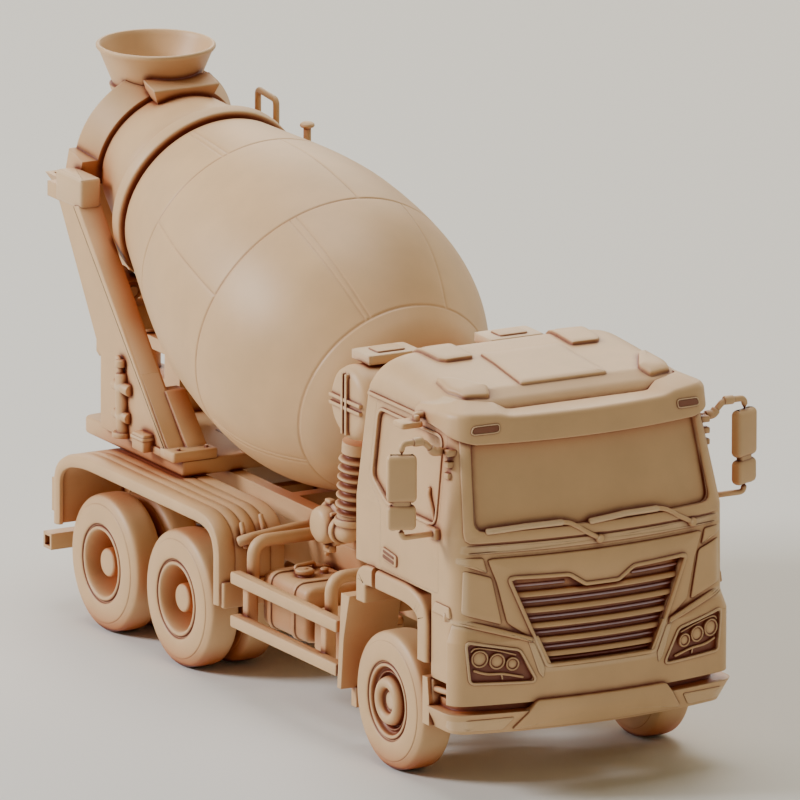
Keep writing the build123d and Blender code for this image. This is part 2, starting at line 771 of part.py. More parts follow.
post_y = 108.2
post_top = 40.0
with BuildPart() as chute_post:
    with Locations((0, at(post_y), (deck_top + post_top) / 2)):
        Box(7.0, 5.0, post_top - deck_top)
    with Locations((0, at(chute_turn_y) - 5.4, deck_top + 2.6), (0, at(chute_turn_y) - 5.4, post_top - 1.0)):
        Box(4.0, 11.0, 2.0)
    for low in (deck_top + 1.6, post_top - 2.0):
        with BuildSketch(Plane.XY.offset(low)):
            with Locations((0, at(chute_turn_y))):
                Circle(2.6)
        extrude(amount=2.0)
    with BuildSketch(Plane.XY.offset(deck_top)):
        with Locations((0, at(chute_turn_y))):
            Circle(chute_turn_r + pin_play)
    extrude(amount=12.0, mode=Mode.SUBTRACT)
save(chute_post, "chute_post")

chute_low = post_top + 0.3
with BuildPart() as swivel_chute:
    with BuildSketch(Plane.XY.offset(deck_top + 1.2)):
        with Locations((0, at(chute_turn_y))):
            Circle(chute_turn_r)
    extrude(amount=chute_low - deck_top)
    with BuildSketch(side_plane(-4.6)):
        with BuildLine():
            Polyline(
                (chute_turn_y - 4.6, chute_low + 3.4),
                (chute_turn_y + 4.0, chute_low),
                (chute_turn_y + 8.6, chute_low - 6.0),
                (chute_turn_y + 9.6, chute_low - 5.4),
                (chute_turn_y + 9.6, chute_low + 0.6),
                (chute_turn_y + 4.6, chute_low + 6.4),
                (chute_turn_y - 4.6, chute_low + 9.4),
                close=True,
            )
        make_face()
    extrude(amount=9.2)
    with BuildSketch(side_plane(-3.6)):
        with BuildLine():
            Polyline(
                (chute_turn_y - 5.6, chute_low + 4.6),
                (chute_turn_y + 4.0, chute_low + 1.2),
                (chute_turn_y + 12.0, chute_low - 9.2),
                (chute_turn_y + 12.0, chute_low + 12.0),
                (chute_turn_y - 5.6, chute_low + 12.0),
                close=True,
            )
        make_face()
    extrude(amount=7.2, mode=Mode.SUBTRACT)
    with BuildSketch(Plane.XY.offset(chute_low - 0.1)):
        with Locations((0, at(chute_turn_y))):
            Circle(chute_turn_r + 1.0)
    extrude(amount=2.6)
save(swivel_chute, "swivel_chute")


# ---------------------------------------------------------------- ladder, rail and pipe
ladder_y = lamp_y + 5.7
ladder_x = 20.6
with BuildPart() as ladder:
    for rail in (-1.9, 1.9):
        with Locations((ladder_x + rail, at(ladder_y), 40.0)):
            Box(0.9, 0.9, 52.0)
    for rung in range(9):
        with Locations((ladder_x, at(ladder_y), 17.0 + 5.6 * rung)):
            Box(4.0, 0.7, 0.7)
    with Locations((ladder_x - 0.9, at((lamp_y + 1.4 + ladder_y) / 2), 18.0)):
        Box(1.6, ladder_y - lamp_y - 1.4, 1.2)
    with BuildSketch(Plane.XY.offset(14.0)):
        with Locations((0, at(lamp_y + 1.3))):
            Rectangle(48.0, 2.0)
    extrude(amount=8.0, mode=Mode.SUBTRACT)
    with Locations((leg_out + 0.6, at(ladder_y - 1.8), 65.0)):
        Box(1.2, 3.0, 1.4)
save(ladder, "ladder")

with BuildPart() as hand_rail:
    with BuildLine(side_plane((leg_in + leg_out) / 2)) as hoop:
        FilletPolyline((111.6, 68.9), (111.6, 77.6), (117.6, 78.2), (117.6, 68.9), radius=0.9)
    with BuildSketch(Plane(origin=hoop.line @ 0, z_dir=hoop.line % 0)):
        Circle(0.55)
    sweep(path=hoop.line)
save(hand_rail, "hand_rail")

with BuildPart() as vent_pipe:
    with BuildSketch(Plane.XY.offset(56.0)):
        with Locations((leg_out - 0.8, at(103.0))):
            Circle(0.65)
    extrude(amount=19.4)
    with BuildSketch(Plane.XY.offset(75.0)):
        with Locations((leg_out - 0.8, at(103.0))):
            Circle(1.2)
    extrude(amount=0.9)
    with BuildSketch(Plane.XY.offset(50.0)):
        with Locations((leg_out - 0.8, at(103.0))):
            Circle(0.65)
    extrude(amount=6.0)
    with BuildSketch(side_plane(leg_in - 1.0)):
        with BuildLine():
            Polyline(*LEG, close=True)
        make_face()
    extrude(amount=leg_w + 2.0, mode=Mode.SUBTRACT)
save(vent_pipe, "vent_pipe")

# ---------------------------------------------------------------- cab
def cab_section(half, front, z, grow=0.0):
    """Level section of the cab with a bowed front and rounded front corners."""
    with BuildSketch(Plane.XY.offset(z)) as section:
        with BuildLine():
            Line((half - grow, at(front + grow)), (half - grow, at(cab_back - grow)))
            Line((half - grow, at(cab_back - grow)), (grow - half, at(cab_back - grow)))
            Line((grow - half, at(cab_back - grow)), (grow - half, at(front + grow)))
            ThreePointArc(
                (grow - half, at(front + grow)), (0, at(front + grow - front_bulge)), (half - grow, at(front + grow))
            )
        make_face()
        fillet(vertices().sort_by(Axis.Y)[:2], radius=3.0 - grow)
    return section.sketch


sill_z = 18.0
nose_rear = -13.2
with BuildPart() as cab_skin:
    for grow, mode in ((0.0, Mode.ADD), (cab_wall, Mode.SUBTRACT)):
        sill = cab_section(cab_half, cab_front - 0.4, sill_z, grow)
        belt = cab_section(cab_half, cab_front, belt_z, grow)
        eaves = cab_section(roof_half, roof_front, roof_z, grow)
        loft([sill, belt], mode=mode)
        loft([belt, eaves], mode=mode)
    with Locations((0, at(nose_rear + 20.0), (sill_z + cab_low) / 2)):
        Box(60.0, 40.0, cab_low - sill_z, mode=Mode.SUBTRACT)


def front_cut(points, radius):
    """Sketch seen from the front, for cutting through the cab's face."""
    with BuildSketch(Plane(origin=(0, at(-40.0), 0), x_dir=(1, 0, 0), z_dir=(0, -1, 0))) as cut:
        with BuildLine():
            Polyline(*points, close=True)
        make_face()
        fillet(vertices(), radius=radius)
    return cut.sketch


def side_cut(points, radius, plane_x):
    """Sketch seen from the truck's left, for cutting through one flank of the cab."""
    with BuildSketch(side_plane(plane_x)) as cut:
        with BuildLine():
            Polyline(*points, close=True)
        make_face()
        fillet(vertices(), radius=radius)
    return cut.sketch


GLASS = ((-20.6, 42.4), (-19.9, 56.2), (19.9, 56.2), (20.6, 42.4))
FASCIA = ((-17.8, 19.0), (-17.8, 38.6), (17.8, 38.6), (17.8, 19.0))
DOOR = (
    (-15.4, cab_low + 0.4), (-14.8, 57.2), (8.0, 57.2), (7.8, 45.0), (3.2, 41.4), (3.2, cab_low + 0.4)
)
GRILLE = ((-8.6, 20.2), (-15.6, 35.2), (15.6, 35.2), (8.6, 20.2))
PANE = ((-14.0, 42.6), (-13.2, 55.9), (6.8, 55.9), (6.5, 45.6), (1.0, 42.6))

with BuildPart() as cab_shell:
    add(cab_skin.part)
    extrude(front_cut(GLASS, 1.6), amount=-32.0, mode=Mode.SUBTRACT)
    extrude(front_cut(FASCIA, 0.6), amount=-24.0, mode=Mode.SUBTRACT)
    extrude(side_cut(DOOR, 0.6, -30.0), amount=60.0, mode=Mode.SUBTRACT)
save(cab_shell, "cab_shell")

with BuildPart() as windscreen:
    extrude(front_cut(GLASS, 1.6), amount=-32.0)
    add(cab_skin.part.moved(Location((0, 0.5, 0))), mode=Mode.INTERSECT)
save(windscreen, "windscreen")

with BuildPart() as front_panel:
    extrude(front_cut(FASCIA, 0.6), amount=-24.0)
    add(cab_skin.part, mode=Mode.INTERSECT)
    extrude(front_cut(GRILLE, 0.4), amount=-24.0, mode=Mode.SUBTRACT)
save(front_panel, "front_panel")

with BuildPart() as grille:
    extrude(front_cut(GRILLE, 0.4), amount=-24.0)
    add(cab_skin.part.moved(Location((0, 0.9, 0))), mode=Mode.INTERSECT)
save(grille, "grille")

with BuildPart() as doors:
    extrude(side_cut(DOOR, 0.6, 15.0), amount=15.0)
    add(cab_skin.part, mode=Mode.INTERSECT)
    extrude(side_cut(PANE, 0.8, 15.0), amount=15.0, mode=Mode.SUBTRACT)
    mirror(about=Plane.YZ)
save(doors, "doors")

with BuildPart() as door_panes:
    extrude(side_cut(PANE, 0.8, 15.0), amount=15.0)
    add(cab_skin.part.moved(Location((-0.4, 0, 0))), mode=Mode.INTERSECT)
    mirror(about=Plane.YZ)
save(door_panes, "door_panes")

roof_top = 64.4
roof_step = 0.8


def roof_rim():
    """Outline of the roof's raised shoulder."""
    with BuildSketch(Plane.XY.offset(roof_top - roof_step)) as section:
        with Locations((0, at(-0.8))):
            RectangleRounded(2 * roof_half - 6.0, 20.4, 2.4)
    return section.sketch


with BuildPart() as roof:
    loft([cab_section(roof_half, roof_front, roof_z), roof_rim()])
    with BuildSketch(Plane.XY.offset(roof_top - roof_step)):
        with Locations((0, at(-0.4))):
            RectangleRounded(28.0, 17.0, 2.0)
    extrude(amount=roof_step, taper=18)
save(roof, "roof")

with BuildPart() as sun_visor:
    loft([
        cab_section(roof_half + 0.9, roof_front - 2.2, 55.4),
        cab_section(roof_half + 0.6, roof_front - 1.4, roof_z + 0.6),
    ])
    loft([cab_section(cab_half, cab_front, belt_z), cab_section(roof_half, roof_front, roof_z)], mode=Mode.SUBTRACT)
    loft([cab_section(roof_half, roof_front, roof_z), roof_rim()], mode=Mode.SUBTRACT)
    with Locations((0, at(10.4), 57.0)):
        Box(60.0, 42.0, 10.0, mode=Mode.SUBTRACT)
save(sun_visor, "sun_visor")

# ---------------------------------------------------------------- cab front and flanks
bumper_low = 15.0
lip_top = 13.7
lip_low = 10.2
bumper_top = 29.4
bumper_rear = -19.4
lip_rear = -14.0
lamp_frame = ((11.6, 18.4), (14.2, 23.3), (22.4, 25.0), (21.8, 18.8))
brow = ((-12.4, 25.4), (-27.0, 30.1), (-27.0, 34.0), (27.0, 34.0), (27.0, 30.1), (12.4, 25.4))


def bumper_section(grow, z):
    """Level section of the bumper, standing proud of the cab's face."""
    return cab_section(body_half + grow, cab_front - 0.9 - grow, z)


with BuildPart() as bumper:
    loft([bumper_section(0.0, bumper_low), bumper_section(0.0, 25.0)])
    loft([bumper_section(0.0, 25.0), bumper_section(-1.2, bumper_top)])
    loft([cab_section(cab_half, cab_front - 0.4, sill_z), cab_section(cab_half, cab_front, belt_z)], mode=Mode.SUBTRACT)
    for side in (-1, 1):
        points = [(side * x, z) for x, z in lamp_frame]
        extrude(front_cut(points, 0.5), amount=-24.0, mode=Mode.SUBTRACT)
    with Locations((0, at(bumper_rear + 20.0), 25.0)):
        Box(60.0, 40.0, 40.0, mode=Mode.SUBTRACT)
    extrude(front_cut(GRILLE, 0.4), amount=-24.0, mode=Mode.SUBTRACT)
    extrude(front_cut(brow, 0.3), amount=-24.0, mode=Mode.SUBTRACT)
save(bumper, "bumper")

with BuildPart() as lower_bumper:
    loft([bumper_section(-1.0, lip_low), bumper_section(0.4, lip_top)])
    loft([bumper_section(-1.8, lip_top - 1.0), bumper_section(-1.8, bumper_low)])
    with Locations((0, at(lip_rear + 20.0), 12.0)):
        Box(60.0, 40.0, 20.0, mode=Mode.SUBTRACT)
save(lower_bumper, "lower_bumper")

arch_top = 31.2
arch_wall = 3.0
arch_deep = 10.4
with BuildPart() as front_mudguards:
    with BuildSketch(side_plane(body_half - arch_deep)):
        add(arch(-12.9, 20.2, 9.8, 25.2, arch_top, 9.0, 4.6, arch_wall))
    extrude(amount=arch_deep)
    mirror(about=Plane.YZ)
save(front_mudguards, "front_mudguards")

nose = ((cab_half, cab_front - 0.4, sill_z), (cab_half, cab_front, belt_z))
with BuildPart() as headlamps:
    extrude(front_cut(lamp_frame, 0.5), amount=-24.0)
    loft([bumper_section(-0.4, bumper_low), bumper_section(-0.4, bumper_top)], mode=Mode.INTERSECT)
    loft([cab_section(*nose[0]), cab_section(*nose[1])], mode=Mode.SUBTRACT)
    split(bisect_by=Plane(origin=(0, at(bumper_rear), 0), z_dir=(0, -1, 0)), keep=Keep.TOP)
    mirror(about=Plane.YZ)
save(headlamps, "headlamps")

with BuildPart() as mud_flaps:
    with BuildSketch(side_plane(15.4)):
        with BuildLine():
            Polyline((11.6, 25.1), (14.2, 25.1), (15.4, 9.6), (14.2, 9.6), (13.4, 18.0), close=True)
        make_face()
    extrude(amount=body_half - 15.4)
    with Locations((body_half - 5.6, at(14.7), 8.0)):
        Box(6.0, 1.6, 3.2)
    with Locations(((body_half - 0.4 + rail_x) / 2, at(13.8), 22.4)):
        Box(body_half - rail_x - 0.4, 2.0, 2.4)
    mirror(about=Plane.YZ)
save(mud_flaps, "mud_flaps")

with BuildPart() as cab_steps:
    with BuildSketch(side_plane(body_half - 2.6)):
        with BuildLine():
            Polyline(
                (-11.9, sill_z), (-11.9, 10.4), (lip_rear, 10.4), (lip_rear, 14.0), (-13.4, sill_z), close=True
            )
        make_face()
    extrude(amount=2.6)
    mirror(about=Plane.YZ)
save(cab_steps, "cab_steps")

mirror_x = 30.4
mirror_y = -15.0
mirror_turn = 24.0
with BuildPart() as mirrors:
    with Locations(Location((mirror_x, at(mirror_y), 50.9), (0, 0, mirror_turn))):
        Box(4.6, 1.8, 7.6)
    with Locations(Location((mirror_x, at(mirror_y), 44.7), (0, 0, mirror_turn))):
        Box(4.4, 1.8, 4.0)
    fillet(edges().filter_by(Axis.Z), radius=0.7)
    with Locations((mirror_x, at(mirror_y), 46.9)):
        Box(1.6, 1.2, 1.0)
    for bends in (
        ((21.2, 54.3), (24.8, 54.5), (26.6, 56.4), (mirror_x, 56.4), (mirror_x, 50.0)),
        ((23.6, 41.4), (mirror_x, 41.4), (mirror_x, 43.6)),
    ):
        with BuildLine(Plane(origin=(0, at(mirror_y), 0), x_dir=(1, 0, 0), z_dir=(0, -1, 0))) as arm:
            FilletPolyline(*bends, radius=0.9)
        with BuildSketch(Plane(origin=arm.line @ 0, z_dir=arm.line % 0)):
            Circle(0.6)
        sweep(path=arm.line)
    loft([cab_section(*nose[1]), cab_section(roof_half, roof_front, roof_z)], mode=Mode.SUBTRACT)
    loft([cab_section(*nose[0]), cab_section(*nose[1])], mode=Mode.SUBTRACT)
    mirror(about=Plane.YZ)
save(mirrors, "mirrors")

with BuildPart() as wipers:
    for base_x, tip_x in ((-0.4, -19.0), (16.9, -2.2)):
        with BuildLine(Plane(origin=(0, at(-24.2), 0), x_dir=(1, 0, 0), z_dir=(0, -1, 0))) as blade:
            Polyline((base_x, 39.8), (base_x - 5.4, 42.9), (tip_x, 42.7))
        with BuildSketch(Plane(origin=blade.line @ 0, z_dir=blade.line % 0)):
            Circle(0.4)
        sweep(path=blade.line, transition=Transition.ROUND)
save(wipers, "wipers")

with BuildPart() as cab_floor:
    with Locations((0, at((nose_rear + cab_back - cab_wall) / 2 + 0.4), cab_low - 0.8)):
        Box(2 * (body_half - arch_deep) - 0.4, cab_back - cab_wall - nose_rear - 1.0, 1.6)
    for mount_y in (-9.0, 7.6):
        for side in (-1, 1):
            with Locations((side * 7.6, at(mount_y), (rail_top + cab_low - 1.6) / 2)):
                Box(2.4, 3.0, cab_low - 1.6 - rail_top)
save(cab_floor, "cab_floor")
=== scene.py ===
"""Looks of a one-colour display model of a concrete mixer truck.

Sizes are written in millimetres. Places along the truck are measured behind the front axle.
The truck faces -Y and its right side is -X.
"""

import math

import bmesh
import bpy
import numpy as np
from bpy.props import FloatProperty, FloatVectorProperty, PointerProperty
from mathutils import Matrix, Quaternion, Vector


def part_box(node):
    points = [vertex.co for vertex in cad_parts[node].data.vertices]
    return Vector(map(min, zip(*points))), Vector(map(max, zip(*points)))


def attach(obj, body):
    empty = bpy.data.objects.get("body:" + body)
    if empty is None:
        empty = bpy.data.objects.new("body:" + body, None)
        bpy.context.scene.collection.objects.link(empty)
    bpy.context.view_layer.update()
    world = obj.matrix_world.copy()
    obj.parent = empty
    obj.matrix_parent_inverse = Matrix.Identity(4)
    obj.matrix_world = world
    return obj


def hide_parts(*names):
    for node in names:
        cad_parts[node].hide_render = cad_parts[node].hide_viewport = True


bl_info = {
    "name": "Concrete Mixer Truck Model",
    "version": (1, 0, 0),
    "blender": (4, 5, 0),
    "location": "3D View > Sidebar > Mixer Truck",
    "description": "Builds a cast-resin display model of a concrete mixer truck",
    "category": "Object",
}

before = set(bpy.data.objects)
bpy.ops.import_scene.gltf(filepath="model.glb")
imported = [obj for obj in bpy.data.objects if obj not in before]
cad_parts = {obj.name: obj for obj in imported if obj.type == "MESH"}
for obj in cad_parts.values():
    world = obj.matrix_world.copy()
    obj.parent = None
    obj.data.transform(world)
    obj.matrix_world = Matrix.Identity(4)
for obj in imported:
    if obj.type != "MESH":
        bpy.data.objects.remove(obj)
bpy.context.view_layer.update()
MM = 0.001


def middle(node):
    """Centre of a CAD node's box, in millimetres."""
    low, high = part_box(node)
    return np.array((low + high) / 2) / MM


# axle places read from the frame: the front one in the model, the rear ones behind it
AXLE_Y = middle("front_wheel_right")[1]
REAR_AXLES = {number: middle(f"rear_wheels_{number}_right")[1] - AXLE_Y for number in "12"}
TYRE_R = middle("front_wheel_right")[2]


def linear(text):
    """sRGB hex colour as linear red, green, blue."""
    values = [int(text[i:i + 2], 16) / 255 for i in (1, 3, 5)]
    return tuple(v / 12.92 if v <= 0.04045 else ((v + 0.055) / 1.055) ** 2.4 for v in values)


# ---------------------------------------------------------------- settings
def length(name, text, value):
    """A size in millimetres that a user may change."""
    return FloatProperty(name=name, description=text, default=value, min=0.0)


def colour(name, text, value):
    """A colour that a user may change, from an sRGB hex value."""
    return FloatVectorProperty(
        name=name, description=text, default=linear(value), min=0.0, max=1.0, size=3, subtype="COLOR"
    )


class ResinAndShading(bpy.types.PropertyGroup):
    """Colours of the resin and of the shade and highlights painted on it, and how far the painted shade
    reaches.
    """

    body: colour("Resin", "Cast resin where light falls on it", "#DBB384")
    # painted shade: red-brown in the deepest crevices
    shade: colour("Shade", "Brown wash lying in the deepest crevices", "#6E240A")
    # painted shade: orange spread round the crevices
    orange_shade_tint: colour("Shadow", "Orange stain spread round the crevices", "#B3581C")
    # painted highlight: paler colour on the outer edges
    edge_highlight: colour("Edge", "Highlighted, paler resin on outer edges", "#EBD0AC")
    # painted sheen: pale violet on the grille's fins
    violet_sheen: colour("Radiator", "Pale violet ground behind the grille", "#B9AEC4")
    # reach of the painted red-brown shade in the crevices
    crevice: length("Crevice reach", "How far the brown wash runs out of a corner, mm", 1.15)
    # reach of the painted orange shade
    stain: length("Stain reach", "How far the orange stain runs out of a corner, mm", 6.5)
    softness: length("Edge softness", "Radius that the sharp edges are shaded with, mm", 0.28)


class WheelSizes(bpy.types.PropertyGroup):
    """Sizes that the tyres and rims are turned from."""

    rim_r: length("Rim radius", "Radius where tyre and rim meet, mm", 6.0)
    front_face: length("Front face", "Outer face of a front tyre from the middle, mm", 24.6)
    rear_face: length("Rear face", "Outer face of a rear tyre from the middle, mm", 23.8)
    front_width: length("Front width", "Width of a front tyre, mm", 6.6)
    rear_width: length("Rear width", "Width of one rear tyre, mm", 6.2)
    twin_gap: length("Twin gap", "Gap between twin tyres, mm", 1.0)


class DrumSizes(bpy.types.PropertyGroup):
    """Sizes of the seams rolled into the mixing drum."""

    seam_depth: length("Seam depth", "Depth of the rolled seams, mm", 0.16)
    seam_width: length("Seam width", "Width of the rolled seams, mm", 0.34)


class TruckSettings(bpy.types.PropertyGroup):
    """All that a user may change, kept on the scene."""

    finish: PointerProperty(type=ResinAndShading)
    wheels: PointerProperty(type=WheelSizes)
    drum: PointerProperty(type=DrumSizes)


# ---------------------------------------------------------------- shapes
def at(y):
    """A place behind the front axle as a place in the model, in millimetres."""
    return AXLE_Y + y


def vec(*values):
    """Numbers as one array, or rows of numbers as a table."""
    return np.array(values, float)


X, Y, Z = (1, 0, 0), (0, 1, 0), (0, 0, 1)
FRONT = vec(0, at(0), 0)  # on the ground below the front axle


def even(points):
    """A left-right even outline: the points, then their mirror images in reverse."""
    return [*points, *((-x, *rest) for x, *rest in reversed(points))]


def fan_volume(corners):
    """Six times the signed volume between the origin and faces fanned from their first corners.

    For faces (n, k, 3) it is the sum of first . (this x next) over each face's other neighbours.
    """
    first = np.broadcast_to(corners[:, :1], corners[:, 1:-1].shape)
    return np.einsum("ijk,ijk->", first, np.cross(corners[:, 1:-1], corners[:, 2:]))


def outward(verts, faces):
    """The same closed shell with its faces pointing out: its signed volume is made positive."""
    centre = verts.mean(0)
    volume = 0.0
    for count in {len(face) for face in faces}:
        volume += fan_volume(verts[np.array([face for face in faces if len(face) == count])] - centre)
    return verts, faces if volume >= 0 else [face[::-1] for face in faces]


def sheet(points, wrap_rows=False, caps=True):
    """Closed shell over a grid of points (rows, columns, 3).

    Neighbouring points make one four-sided face. The columns run round a section and the rows along it.
    The first and last row are each closed by one face, unless the rows wrap round as well.
    """
    rows, columns = points.shape[:2]
    index = np.arange(rows * columns).reshape(rows, columns)
    if wrap_rows:
        index = np.vstack([index, index[:1]])
    index = np.hstack([index, index[:, :1]])
    quads = np.stack([index[:-1, :-1], index[:-1, 1:], index[1:, 1:], index[1:, :-1]], -1).reshape(-1, 4)
    faces = [tuple(q) for q in quads.tolist()]
    if caps and not wrap_rows:
        faces.append(tuple(range(columns))[::-1])
        faces.append(tuple(range((rows - 1) * columns, rows * columns)))
    return outward(points.reshape(-1, 3), faces)


def mirrored(shell):
    """The same shell on the truck's other side: x changes sign."""
    verts, faces = shell
    return outward(verts * vec(-1, 1, 1), faces)


def both(*shells):
    """The shells and their mirror images."""
    return [*shells, *(mirrored(s) for s in shells)]


def curve(points, steps=8):
    """Smooth line through the points: Catmull-Rom cubics, each stretch in the same number of steps."""
    p = np.asarray(points, float)
    p = np.vstack([2 * p[0] - p[1], p, 2 * p[-1] - p[-2]])
    u = np.linspace(0, 1, steps, endpoint=False)[:, None]
    a, b, c, d = p[:-3, None], p[1:-2, None], p[2:-1, None], p[3:, None]
    line = 0.5 * (2 * b + (c - a) * u + (2 * a - 5 * b + 4 * c - d) * u**2 + (3 * b - a - 3 * c + d) * u**3)
    return np.vstack([line.reshape(-1, p.shape[1]), p[-2]])


def rounded(points, radius, steps=5, closed=True):
    """Corners of a line replaced by curves.

    Each corner becomes a quadratic curve from a point `radius` before it to one `radius` after it,
    with the corner itself as its control point.
    """
    p = np.asarray(points, float)
    r = np.broadcast_to(np.asarray(radius, float), (len(p),))[:, None]
    before, after = np.roll(p, 1, 0) - p, np.roll(p, -1, 0) - p
    size_b = np.maximum(np.linalg.norm(before, axis=1, keepdims=True), 1e-9)
    size_a = np.maximum(np.linalg.norm(after, axis=1, keepdims=True), 1e-9)
    start = p + before * np.minimum(r / size_b, 0.48)
    end = p + after * np.minimum(r / size_a, 0.48)
    u = np.linspace(0, 1, steps)[None, :, None]
    arcs = (1 - u) ** 2 * start[:, None] + 2 * u * (1 - u) * p[:, None] + u**2 * end[:, None]
    if closed:
        return arcs.reshape(-1, p.shape[1])
    return np.vstack([p[:1], arcs[1:-1].reshape(-1, p.shape[1]), p[-1:]])


def divided(points, spacing, closed=True):
    """The same line with points added so that none are further apart than the spacing."""
    p = np.asarray(points, float)
    q = np.vstack([p, p[:1]]) if closed else p
    walk = np.r_[0, np.cumsum(np.linalg.norm(np.diff(q, axis=0), axis=1))]
    extra = np.linspace(0, walk[-1], max(int(walk[-1] / spacing), 2) + 1)
    keep = np.unique(np.round(np.r_[walk, extra], 5))
    keep = keep[np.r_[True, np.diff(keep) > 1e-3]]
    if closed and keep[-1] > walk[-1] - 1e-3:
        keep = keep[:-1]
    return np.stack([np.interp(keep, walk, q[:, k]) for k in range(q.shape[1])], 1)


def inset(outline, amount):
    """The outline moved inwards by the amount: each point goes along the mean of its two sides' normals."""
    p = np.asarray(outline, float)
    area = 0.5 * np.sum(p[:, 0] * np.roll(p[:, 1], -1) - p[:, 1] * np.roll(p[:, 0], -1))
    side = np.roll(p, -1, 0) - p
    normal = np.stack([-side[:, 1], side[:, 0]], 1) * np.sign(area)
    normal /= np.maximum(np.linalg.norm(normal, axis=1, keepdims=True), 1e-9)
    mean = normal + np.roll(normal, 1, 0)
    scale = np.maximum(np.einsum("ij,ij->i", mean, mean) / 2, 0.5)[:, None]
    return p + mean / scale * amount


def edge_rings(outline, low, high, bevel, steps=3):
    """Outline rings of a slab between two heights with rounded edges, as (outline, height) pairs."""
    turn = np.linspace(0, np.pi / 2, steps)
    rings = [(inset(outline, bevel * (1 - math.sin(a))), low + bevel * (1 - math.cos(a))) for a in turn]
    rings += [(inset(outline, bevel * (1 - math.cos(a))), high - bevel * (1 - math.sin(a))) for a in turn]
    return rings


def slab(outline, low, high, origin, across, up, bevel=0.3, steps=3):
    """Flat plate: a closed outline raised from one height to another, its edges rounded by quarter circles.

    Outline x runs along `across`, outline y along `up`, and the height along their cross product.
    """
    across, up, origin = vec(*across), vec(*up), vec(*origin)
    normal = np.cross(across, up)
    rings = edge_rings(outline, low, high, bevel, steps)
    points = np.stack([origin + o[:, :1] * across + o[:, 1:] * up + h * normal for o, h in rings])
    return sheet(points)


def block(x, y, z, bevel=0.35, corner=0.4):
    """Box between two places on each axis (y behind the front axle) with rounded edges and corners."""
    outline = rounded([(x[0], y[0]), (x[1], y[0]), (x[1], y[1]), (x[0], y[1])], corner, 4)
    return slab(outline, z[0], z[1], FRONT, X, Y, bevel)


def flank_slab(points, x, radius, bevel):
    """Plate seen from the side: points are (y behind the front axle, z), x its two faces."""
    return slab(rounded(points, radius), *x, FRONT, Y, Z, bevel)


def lathe(profile, origin, axis, steps=96, closed=False):
    """Turned shape: the profile (distance along the axis, radius) goes once round the axis.

    A point is origin + distance * axis + radius * (cos a * first + sin a * second), a the angle.
    """
    axis = vec(*axis) / np.linalg.norm(axis)
    helper = vec(1, 0, 0) if abs(axis[0]) < 0.9 else vec(0, 0, 1)
    second = np.cross(axis, helper)
    second /= np.linalg.norm(second)
    first = np.cross(second, axis)
    a = np.linspace(0, 2 * np.pi, steps, endpoint=False)
    ring = np.cos(a)[:, None] * first + np.sin(a)[:, None] * second
    p = np.asarray(profile, float)
    points = vec(*origin) + p[:, :1, None] * axis + p[:, 1:, None] * ring[None]
    return sheet(points, wrap_rows=closed, caps=False)


def carried(path, section, up=Z):
    """A flat section carried along a path without twisting.

    At each point the section stands across the path's direction; its x lies along the side vector,
    direction x up, and its y along side x direction.
    """
    path = np.asarray(path, float)
    ahead = np.roll(path, -1, 0) - np.roll(path, 1, 0)
    ahead[0], ahead[-1] = path[1] - path[0], path[-1] - path[-2]
    ahead /= np.linalg.norm(ahead, axis=1, keepdims=True)
    side = np.cross(ahead, vec(*up))
    side /= np.maximum(np.linalg.norm(side, axis=1, keepdims=True), 1e-9)
    top = np.cross(side, ahead)
    s = np.asarray(section, float)
    if s.ndim == 2:
        s = np.broadcast_to(s, (len(path),) + s.shape)
    points = path[:, None] + s[..., :1] * side[:, None] + s[..., 1:] * top[:, None]
    return sheet(points)


def ring_of(radius, steps=16):
    """Circle as an outline."""
    a = np.linspace(0, 2 * np.pi, steps, endpoint=False)
    return np.stack([np.cos(a), np.sin(a)], 1) * radius


def rod(points, radius, bend=0.0, up=Z, steps=16, ends=0.35):
    """Round bar along a line with rounded bends and softened ends: a circle carried along it."""
    path = rounded(points, bend, 8, closed=False) if bend else np.asarray(points, float)
    first, last = path[1] - path[0], path[-1] - path[-2]
    first, last = first / np.linalg.norm(first), last / np.linalg.norm(last)
    soft = min(ends, radius * 0.7)
    lead = np.array([0, 0.3, 1.0]) * soft
    path = np.vstack([path[0] + lead[:, None] * first, path[1:-1], path[-1] - lead[::-1, None] * last])
    scale = np.ones(len(path))
    scale[[0, -1]], scale[[1, -2]] = 1 - soft / radius, 1 - 0.3 * soft / radius
    return carried(path, ring_of(radius, steps)[None] * scale[:, None, None], up)


def bar(points, radius, bend=0.0, **how):
    """A rod between places given as (x, y behind the front axle, z)."""
    return rod(vec(*points) + FRONT, radius, bend, **how)


def raised(surface, layers):
    """Layers of (outline in the surface's two parameters, height above it) as points in space."""
    points = []
    for flat, height in layers:
        place, normal = surface(flat[:, 0], flat[:, 1])
        points.append(place + normal * height)
    return np.stack(points)


def on_surface(surface, outline, corner, sink, rise, bevel=0.2, rings=4, spacing=1.2):
    """Raised pad that follows a curved surface, its outline's corners rounded first.

    The outline lies in the surface's own two parameters. Its wall climbs from `sink` below the surface
    to `rise` above it along the surface normal, turns over a rounded edge, and the top closes in rings
    drawn towards the outline's middle so that it keeps the surface's curve.
    """
    outline = divided(rounded(outline, corner) if corner else outline, spacing)
    layers = [(outline, -sink)] + [
        (inset(outline, bevel * (1 - math.cos(a))), rise - bevel * (1 - math.sin(a)))
        for a in np.linspace(0, np.pi / 2, 3)
    ]
    top = layers[-1][0]
    heart = (top.max(0) + top.min(0)) / 2
    layers += [(heart + (top - heart) * s, rise) for s in np.linspace(1, 0.02, rings + 1)[1:]]
    return sheet(raised(surface, layers))


